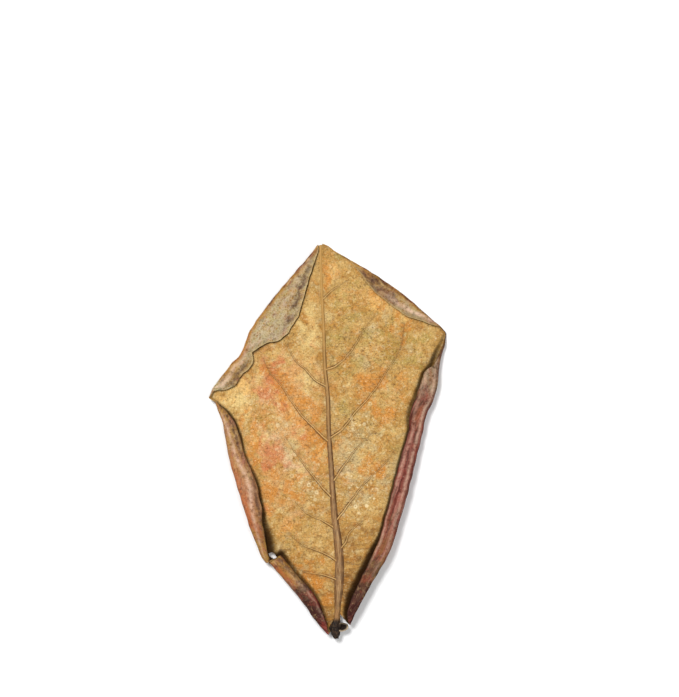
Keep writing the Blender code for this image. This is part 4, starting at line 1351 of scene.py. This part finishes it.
def underside_ground(tree, place):
    """Tan with clouds of straw, ochre and grey, and the stored stains broken up by noise."""
    colour = layer(tree, TAN, STRAW, ramp(tree, noise(tree, place, 80.0, 5.0, 0.65), 0.4, 0.58))
    cloud = noise(tree, object_place(tree, shift=0.3), 120.0, 5.0, 0.7, 0.5)
    colour = layer(tree, colour, OCHRE, ramp(tree, cloud, 0.49, 0.6, 0.0, 0.7))
    cloud = noise(tree, object_place(tree, shift=0.7), 140.0, 6.0, 0.7, 0.3)
    colour = layer(tree, colour, GREY_TAN, ramp(tree, cloud, 0.52, 0.62, 0.0, 0.5))
    unrest = ramp(tree, noise(tree, place, 210.0, 5.0, 0.58), 0.34, 0.66, -0.35, 0.35)
    for name, tone, most in (
        ("warm", PEACH, 0.75),
        ("amber", AMBER_COLOUR, 0.7),
        ("haze", HAZE_COLOUR, 0.75),
        ("gold", GOLD_COLOUR, 0.75),
        ("pale", PALE_COLOUR, 0.85),
        ("grey", GREY_TAN, 0.8),
        ("olive", OLIVE_COLOUR, 0.7),
        ("base", BASE_BROWN, 0.85),
        ("orange", ORANGE_COLOUR, 0.85),
        ("pink", PINK_COLOUR, 0.75),
    ):
        patch = stored(tree, name)
        broken = ramp(tree, combine(tree, "ADD", patch, unrest), 0.15, 0.95)
        colour = stain(tree, colour, tone, broken, ramp(tree, patch, 0.0, 0.25, 0.0, most))
    loose = noise(tree, object_place(tree, shift=0.5), 200.0, 4.0, 0.6, 0.8)
    return layer(tree, colour, ORANGE_COLOUR, ramp(tree, loose, 0.53, 0.63, 0.0, 0.3))


def mildew_rings(tree, place, colour, scale, share):
    """Small cream rings: one in each of the chosen cells, where mildew is stored."""
    spot = tree.nodes.new("ShaderNodeTexVoronoi")
    spot.inputs["Scale"].default_value = scale
    tree.links.new(place, spot.inputs["Vector"])
    far = spot.outputs["Distance"]
    ring = combine(tree, "MULTIPLY", ramp(tree, far, 0.07, 0.13), ramp(tree, far, 0.34, 0.24))
    chosen = combine(tree, "LESS_THAN", spot.outputs["Color"], share)
    mildew = stored(tree, "mildew")
    colour = stain(tree, colour, CREAM, ring, chosen, mildew, 0.9)
    return stain(tree, colour, SPECK, ramp(tree, far, 0.12, 0.06), chosen, mildew, 0.5)


def underside_marks(tree, place, colour, grain, net):
    """Speckle, dirt, streaks at the base, mildew rings and a net of veinlets over the ground."""
    middle = noise(tree, place, 460.0, 4.0, 0.65)
    for lumps, tone, start, end, most in (
        (middle, SPECK, 0.54, 0.68, 0.45),
        (middle, CREAM, 0.44, 0.32, 0.35),
        (grain, SPECK, 0.57, 0.67, 0.55),
        (grain, CREAM, 0.41, 0.32, 0.45),
    ):
        colour = layer(tree, colour, tone, ramp(tree, lumps, start, end, 0.0, most))
    flecks = noise(tree, object_place(tree, (1.0, 2.0, 1.0)), 640.0, 2.0, 0.5)
    flecks = ramp(tree, flecks, 0.59, 0.64)
    flecked = combine(tree, "ADD", stored(tree, "olive"), stored(tree, "grey"), 0.25)
    colour = stain(tree, colour, SPECK, flecks, flecked, 0.55)
    flecks = noise(tree, object_place(tree, shift=0.4), 700.0, 2.0, 0.5)
    flecks = ramp(tree, flecks, 0.61, 0.66)
    flecked = combine(tree, "ADD", stored(tree, "mildew"), stored(tree, "grey"), 0.15)
    colour = stain(tree, colour, CREAM, flecks, flecked, 0.4)
    streaks = noise(tree, object_place(tree, (1.0, 5.0, 1.0)), 70.0, 5.0, 0.65)
    streaks = ramp(tree, streaks, 0.46, 0.6)
    colour = stain(tree, colour, OCHRE, stored(tree, "base"), streaks, 0.8)
    streaks = noise(tree, object_place(tree, (1.0, 6.0, 1.0), 0.2), 110.0, 5.0, 0.65)
    streaks = ramp(tree, streaks, 0.53, 0.63)
    colour = stain(tree, colour, SPECK, stored(tree, "base"), streaks, 0.7)
    colour = mildew_rings(tree, place, colour, 290.0, 0.33)
    return layer(tree, colour, BROWN_LINE_AND_SHADE, ramp(tree, net, 0.07, 0.0, 0.0, 0.22))


def underside_material():
    """Papery tan underside with stains, speckle, rings, a net of veinlets and painted shade by the
    curls.
    """
    material, tree, shader = start_material("underside", 0.78, 0.16)
    place = object_place(tree)
    grain = noise(tree, place, 1300.0, 3.0, 0.65)
    net = cells(tree, place, 560.0)
    colour = underside_marks(tree, place, underside_ground(tree, place), grain, net)
    uneven = ramp(tree, noise(tree, place, 210.0, 4.0, 0.65), 0.36, 0.54, 0.55, 1.0)
    for name, tone, most in (
        # beside the veins and the midrib: partly their colour, partly painted shade
        ("vein_side", BROWN_LINE_AND_SHADE, 0.2),
        ("rib_side", BROWN_LINE_AND_SHADE, 0.18),
        # on the veins: pale ridge partly painted highlight, dark line partly painted shade
        ("ridge", VEIN_GOLD, 0.85),
        ("line", BROWN_LINE_AND_SHADE, 0.9),
        # painted shade near where the curls hang over the face
        ("crease", BROWN_LINE_AND_SHADE, 0.1),
        # painted shade inside each curl
        ("curl_inside_shade", BROWN_LINE_AND_SHADE, 0.9),
        ("edge", BROWN_LINE_AND_SHADE, 0.3),
    ):
        colour = stain(tree, colour, tone, stored(tree, name), uneven, most)
    # Painted shadow of the curls on the face, with less shine where it lies
    colour = stain(tree, colour, SHADOW, stored(tree, "shadow"), 0.97)
    tree.links.new(colour, shader.inputs["Base Color"])
    dull = ramp(tree, stored(tree, "shadow"), 0.0, 1.0, 0.16, 0.0)
    tree.links.new(dull, shader.inputs["Specular IOR Level"])
    first = bump(tree, shader, noise(tree, place, 380.0, 6.0, 0.68), 0.0009, 0.9)
    fine = bump(tree, shader, ramp(tree, net, 0.0, 0.16), 0.00012, 0.8, first)
    bump(tree, shader, grain, 0.0002, 0.9, fine)
    return material


underside = underside_material()
print("underside, nodes", len(underside.node_tree.nodes))

# %% [markdown]
# ### The upper face
#
# It dried rust to maroon, in streaks that run along the curls, with a pale bloom where the skin has
# lifted, ochre where the colour has gone, and dark specks. The pale and dark stripes along the
# curls are partly that colour and partly painted highlight and painted shade. On the flaps the skin
# is a finely crackled grey. A noise in the frame's own directions can't follow a curl, so the
# streaks are placed on the flat map, as if the leaf were unrolled. The face is smoother than the
# underside, so the tubes catch the light.

# %% The upper face's colours and finish
MAROON = (0.185, 0.042, 0.030)
MAUVE = (0.38, 0.155, 0.115)
DARK_MAROON = (0.035, 0.009, 0.008)
CRIMSON = (0.24, 0.028, 0.018)
ROSE_TAN = (0.43, 0.185, 0.085)
RUST = (0.42, 0.115, 0.032)
UPPER_OCHRE = (0.36, 0.19, 0.038)
BARK_BROWN = (0.19, 0.07, 0.03)
BARK_PALE = (0.56, 0.37, 0.17)
GREY_SKIN = (0.34, 0.265, 0.125)
LILAC = (0.53, 0.43, 0.32)
CRACKLE_GREY = (0.66, 0.56, 0.38)
OLIVE_SKIN = (0.42, 0.34, 0.11)
BLOOM_AND_HIGHLIGHT = (0.68, 0.46, 0.33)
DUSK_AND_SHADE = (0.095, 0.045, 0.030)
NEAR_BLACK = (0.02, 0.009, 0.008)
RIM_STRAW = (0.55, 0.39, 0.17)


def skin_layers(tree, place, long_place):
    """Maroon with mauve streaks, then the tints stored along the side, each broken by a noise."""
    streak = noise(tree, long_place, 6.0, 4.0, 0.55)
    colour = layer(tree, MAROON, MAUVE, ramp(tree, streak, 0.42, 0.64))
    fine_streak = noise(tree, flat_place_of(tree, 9.0, 0.8, 5.0), 9.0, 5.0, 0.6)
    dark = stored(tree, "dark")
    streaked = combine(tree, "ADD", dark, ramp(tree, fine_streak, 0.38, 0.62, -0.3, 0.42))
    colour = layer(tree, colour, DARK_MAROON, ramp(tree, streaked, 0.15, 1.0, 0.0, 0.95))
    over = ramp(tree, dark, 0.3, 1.2, 1.0, 0.35)
    crimson = noise(tree, object_place(tree, shift=0.9), 120.0, 5.0, 0.7)
    colour = layer(tree, colour, CRIMSON, ramp(tree, crimson, 0.5, 0.6, 0.0, 0.5))
    for name, tone, scale in (
        ("rose", ROSE_TAN, 10.0),
        ("ochre", UPPER_OCHRE, 9.0),
        ("grey_skin", GREY_SKIN, 12.0),
    ):
        cloud = noise(tree, flat_place_of(tree, 3.2, 1.5, scale), scale, 6.0, 0.68, 0.4)
        cloud = ramp(tree, cloud, 0.38, 0.6, 0.3, 1.35)
        amount = combine(tree, "MULTIPLY", stored(tree, name), cloud, over)
        colour = layer(tree, colour, tone, ramp(tree, amount, 0.0, 1.0, 0.0, 0.95))
    grey_skin = stored(tree, "grey_skin")
    warm = combine(tree, "ADD", stored(tree, "rose"), stored(tree, "ochre"))
    warm = combine(tree, "MULTIPLY", warm, ramp(tree, grey_skin, 0.2, 0.6, 1.0, 0.2))
    brown = noise(tree, flat_place_of(tree, 4.0, 1.3, 31.0), 10.0, 5.0, 0.7)
    colour = stain(tree, colour, BARK_BROWN, warm, ramp(tree, brown, 0.5, 0.6, 0.0, 0.55))
    pale = noise(tree, flat_place_of(tree, 4.0, 1.8, 41.0), 9.0, 5.0, 0.7)
    colour = stain(tree, colour, BARK_PALE, warm, ramp(tree, pale, 0.54, 0.66, 0.0, 0.5))
    cloud = noise(tree, flat_place_of(tree, 4.0, 1.6, 8.0), 12.0, 5.0, 0.65)
    cloud = ramp(tree, cloud, 0.36, 0.56, 0.3, 1.0)
    colour = stain(tree, colour, RUST, stored(tree, "rust"), cloud, 0.85)
    lilac = noise(tree, flat_place_of(tree, 4.0, 2.0, 3.0), 14.0, 6.0, 0.7)
    colour = stain(tree, colour, LILAC, grey_skin, ramp(tree, lilac, 0.48, 0.58), 0.5)
    blotch = noise(tree, place, 260.0, 4.0, 0.7)
    colour = stain(tree, colour, BARK_BROWN, grey_skin, ramp(tree, blotch, 0.5, 0.64, 0.0, 0.3))
    tint = noise(tree, object_place(tree, shift=1.7), 240.0, 4.0, 0.7)
    colour = stain(tree, colour, OLIVE_SKIN, grey_skin, ramp(tree, tint, 0.5, 0.64, 0.0, 0.5))
    crackle = ramp(tree, cells(tree, place, 840.0), 0.22, 0.02)
    return stain(tree, colour, CRACKLE_GREY, grey_skin, crackle, 0.42)


def upper_face_material():
    """Maroon upper face: tints, streaks, stripes, specks, painted shade on tube sides and a pale
    rim.
    """
    material, tree, shader = start_material("upper_face", 0.6, 0.05)
    place = object_place(tree)
    long_place = flat_place_of(tree, 9.0, 0.8, 0.0)
    colour = skin_layers(tree, place, long_place)
    middle = noise(tree, place, 420.0, 4.0, 0.68)
    broken = ramp(tree, middle, 0.36, 0.54)
    # Dark and pale stripes along the curls: partly the skin's colour, partly painted shade and
    # painted highlight
    colour = stain(tree, colour, DUSK_AND_SHADE, stored(tree, "dusk_and_shade_stripe"), broken, 0.85)
    broken = ramp(tree, middle, 0.62, 0.42, 0.35)
    colour = stain(tree, colour, BLOOM_AND_HIGHLIGHT, stored(tree, "bloom_and_highlight_stripe"), broken, 0.62)
    colour = layer(tree, colour, NEAR_BLACK, ramp(tree, middle, 0.54, 0.68, 0.0, 0.45))
    speck = noise(tree, place, 1000.0, 4.0, 0.7)
    colour = layer(tree, colour, NEAR_BLACK, ramp(tree, speck, 0.54, 0.7, 0.0, 0.55))
    less_on_dark = ramp(tree, stored(tree, "dark"), 0.2, 1.0, 0.28, 0.1)
    colour = stain(tree, colour, LILAC, ramp(tree, speck, 0.42, 0.3), less_on_dark)
    tan_speck = noise(tree, object_place(tree, shift=2.3), 620.0, 4.0, 0.7)
    tan_speck = ramp(tree, tan_speck, 0.55, 0.64, 0.0, 0.55)
    on_dark = ramp(tree, stored(tree, "dark"), 0.5, 1.0)
    colour = stain(tree, colour, BARK_PALE, tan_speck, on_dark, 0.45)
    # Painted shade on the wall of a tube that turns down to the face
    colour = stain(tree, colour, NEAR_BLACK, stored(tree, "wall_shade"), 0.95)
    colour = stain(tree, colour, RIM_STRAW, stored(tree, "edge"), 0.65)
    tree.links.new(colour, shader.inputs["Base Color"])
    tree.links.new(ramp(tree, middle, 0.3, 0.7, 0.48, 0.7), shader.inputs["Roughness"])
    first = bump(tree, shader, noise(tree, long_place, 14.0, 6.0, 0.7), 0.0005, 0.6)
    second = bump(tree, shader, middle, 0.0005, 0.6, first)
    bump(tree, shader, speck, 0.00015, 0.7, second)
    return material


upper_face = upper_face_material()
print("upper face, nodes", len(upper_face.node_tree.nodes))

# %% [markdown]
# ### The rim, the midrib and the stalk
#
# These are small, and nearly one colour each: the ochre edge of the sheet, the grey-brown midrib
# and the black-brown stub. One helper clouds a ground colour with two others, and each material
# adds only its own mark, so the four stay alike in grain.

# %% The rim, the midrib and the stalk
RIB_BROWN = (0.31, 0.16, 0.06)
RIB_GREY = (0.25, 0.145, 0.07)
RIB_PALE = (0.50, 0.31, 0.14)
STALK_DARK = (0.012, 0.006, 0.004)
STALK_BROWN = (0.050, 0.025, 0.012)
STALK_GREY = (0.105, 0.082, 0.052)
STALK_GOLD = (0.62, 0.47, 0.30)


def cloudy_material(name, ground, second, third, scale, roughness, relief_depth):
    """A ground colour with two more in clouds over it, and a bump of the same clouds."""
    material, tree, shader = start_material(name, roughness, 0.25)
    place = object_place(tree)
    coarse = noise(tree, place, scale, 5.0, 0.68)
    colour = layer(tree, ground, second, ramp(tree, coarse, 0.45, 0.62))
    fine = noise(tree, place, scale * 3.3, 4.0, 0.7)
    colour = layer(tree, colour, third, ramp(tree, fine, 0.52, 0.68, 0.0, 0.7))
    tree.links.new(colour, shader.inputs["Base Color"])
    bump(tree, shader, fine, relief_depth, 0.8)
    return material, tree, shader, colour


def rim_material():
    """Ochre edge of the sheet, black-brown where the curl beside it is dark."""
    material, tree, shader, colour = cloudy_material(
        "rim", UPPER_OCHRE, STRAW, RIB_BROWN, scale=300.0, roughness=0.7, relief_depth=0.0001,
    )
    dark = ramp(tree, stored(tree, "dark"), 0.3, 0.7, 0.0, 0.9)
    colour = layer(tree, colour, DARK_MAROON, dark)
    tree.links.new(colour, shader.inputs["Base Color"])
    return material


def midrib_material():
    """Grey-brown midrib, paler towards the tip, with dark side lines, partly painted shade, and
    lengthwise streaks.
    """
    material, tree, shader, colour = cloudy_material(
        "midrib", RIB_BROWN, RIB_GREY, RIB_PALE, scale=240.0, roughness=0.65, relief_depth=0.0002,
    )
    streaks = noise(tree, object_place(tree, (1.0, 0.08, 1.0)), 1500.0, 5.0, 0.65)
    colour = layer(tree, colour, RIB_PALE, ramp(tree, streaks, 0.52, 0.62, 0.0, 0.6))
    colour = layer(tree, colour, BROWN_LINE_AND_SHADE, ramp(tree, streaks, 0.48, 0.36, 0.0, 0.7))
    colour = layer(tree, colour, TAN, ramp(tree, stored(tree, "lengthwise"), 0.35, 0.85, 0.0, 0.95))
    # The pale ridge is partly painted highlight, the dark side lines partly painted shade.
    colour = stain(tree, colour, RIB_PALE, stored(tree, "ridge"), 0.5)
    uneven = ramp(tree, noise(tree, object_place(tree), 160.0, 3.0, 0.6), 0.36, 0.56, 0.5, 1.0)
    fade = ramp(tree, stored(tree, "lengthwise"), 0.72, 0.9, 0.85, 0.12)
    colour = stain(tree, colour, BROWN_LINE_AND_SHADE, stored(tree, "line"), uneven, fade)
    tree.links.new(colour, shader.inputs["Base Color"])
    return material


def stalk_material():
    """Black-brown knot, with the midrib's brown where the stub runs into it."""
    material, tree, shader, colour = cloudy_material(
        "stalk", STALK_DARK, STALK_BROWN, STALK_GREY,
        scale=420.0, roughness=0.7, relief_depth=0.0005,
    )
    colour = layer(tree, colour, RIB_BROWN, stored(tree, "rib_end"))
    tree.links.new(colour, shader.inputs["Base Color"])
    return material


def scar_material():
    """Nearly black, with a pale gold lip round the lower side of the cup."""
    material, tree, shader, colour = cloudy_material(
        "stalk_scar", STALK_DARK, STALK_DARK, STALK_BROWN,
        scale=380.0, roughness=0.7, relief_depth=0.0003,
    )
    colour = stain(tree, colour, STALK_GOLD, stored(tree, "lip"), 0.85)
    tree.links.new(colour, shader.inputs["Base Color"])
    return material


rim = rim_material()
for blade in (blade_left, blade_right):
    for material in (underside, upper_face, rim):
        blade.data.materials.append(material)
side_veins.data.materials.append(underside)
cross_veins.data.materials.append(underside)
midrib.data.materials.append(midrib_material())
stalk.data.materials.append(stalk_material())
scar.data.materials.append(scar_material())
print("materials", len(bpy.data.materials))

# %% [markdown]
# ## Floor, light and camera
#
# A pale floor and large soft lights, as for a product picture on white. The key light stands beyond
# the upper left, so that the curls' shadows fall towards the lower right. The camera looks straight
# down through a long lens. The picture's middle is above and to the right of the leaf, so the
# camera stands over that point and needs no shift.

# %% Floor
FLOOR_HALF = 1.5
floor_corners = FLOOR_HALF * np.array(((-1, -1, 0), (1, -1, 0), (1, 1, 0), (-1, 1, 0)))
floor_mesh = bpy.data.meshes.new("floor")
floor_mesh.from_pydata(floor_corners.tolist(), [], [(0, 1, 2, 3)])
floor = bpy.data.objects.new("floor", floor_mesh)
bpy.context.scene.collection.objects.link(floor)
floor_material, _, floor_shader = start_material("floor", 0.9, 0.1)
floor_shader.inputs["Base Color"].default_value = (0.9, 0.9, 0.9, 1.0)
floor_mesh.materials.append(floor_material)
print("floor side, m", 2 * FLOOR_HALF)

# %% Lights
WORLD_STRENGTH = 0.2


def soft_light(name, place, size, watts):
    """A square area light at place, turned towards the origin."""
    data = bpy.data.lights.new(name, "AREA")
    data.shape = "SQUARE"
    data.size = size
    data.energy = watts
    light = bpy.data.objects.new(name, data)
    bpy.context.scene.collection.objects.link(light)
    light.location = place
    flat = math.hypot(place[0], place[1])
    light.rotation_euler = (math.atan2(flat, place[2]), 0.0, math.atan2(place[0], -place[1]))
    print(name, "light, watts", watts)


soft_light("key", (-0.36, 0.44, 1.0), size=0.36, watts=12.2)
soft_light("fill", (0.35, -0.15, 1.0), size=0.8, watts=5.2)
world = bpy.data.worlds.new("studio")
world.use_nodes = True
world.node_tree.nodes["Background"].inputs["Color"].default_value = (1.0, 1.0, 1.0, 1.0)
world.node_tree.nodes["Background"].inputs["Strength"].default_value = WORLD_STRENGTH
bpy.context.scene.world = world
bpy.context.scene.view_settings.view_transform = "Standard"

# %% Camera
PIXEL = 0.468
PICTURE_HIGH = 697
PICTURE_MIDDLE = (0.94, 123.3)
LENS = 180.0
SENSOR = 36.0
MIDDLE_HEIGHT = 0.003
camera_data = bpy.data.cameras.new("camera")
camera_data.lens = LENS
camera_data.sensor_width = SENSOR
camera = bpy.data.objects.new("camera", camera_data)
bpy.context.scene.collection.objects.link(camera)
camera_height = PICTURE_HIGH * PIXEL * MM * LENS / SENSOR + MIDDLE_HEIGHT
camera_east = FOOT[0] + PICTURE_MIDDLE[0] * MM
camera_north = FOOT[1] + PICTURE_MIDDLE[1] * MM
camera.location = (camera_east, camera_north, camera_height)
bpy.context.scene.camera = camera
print("camera height", round(camera_height, 3))
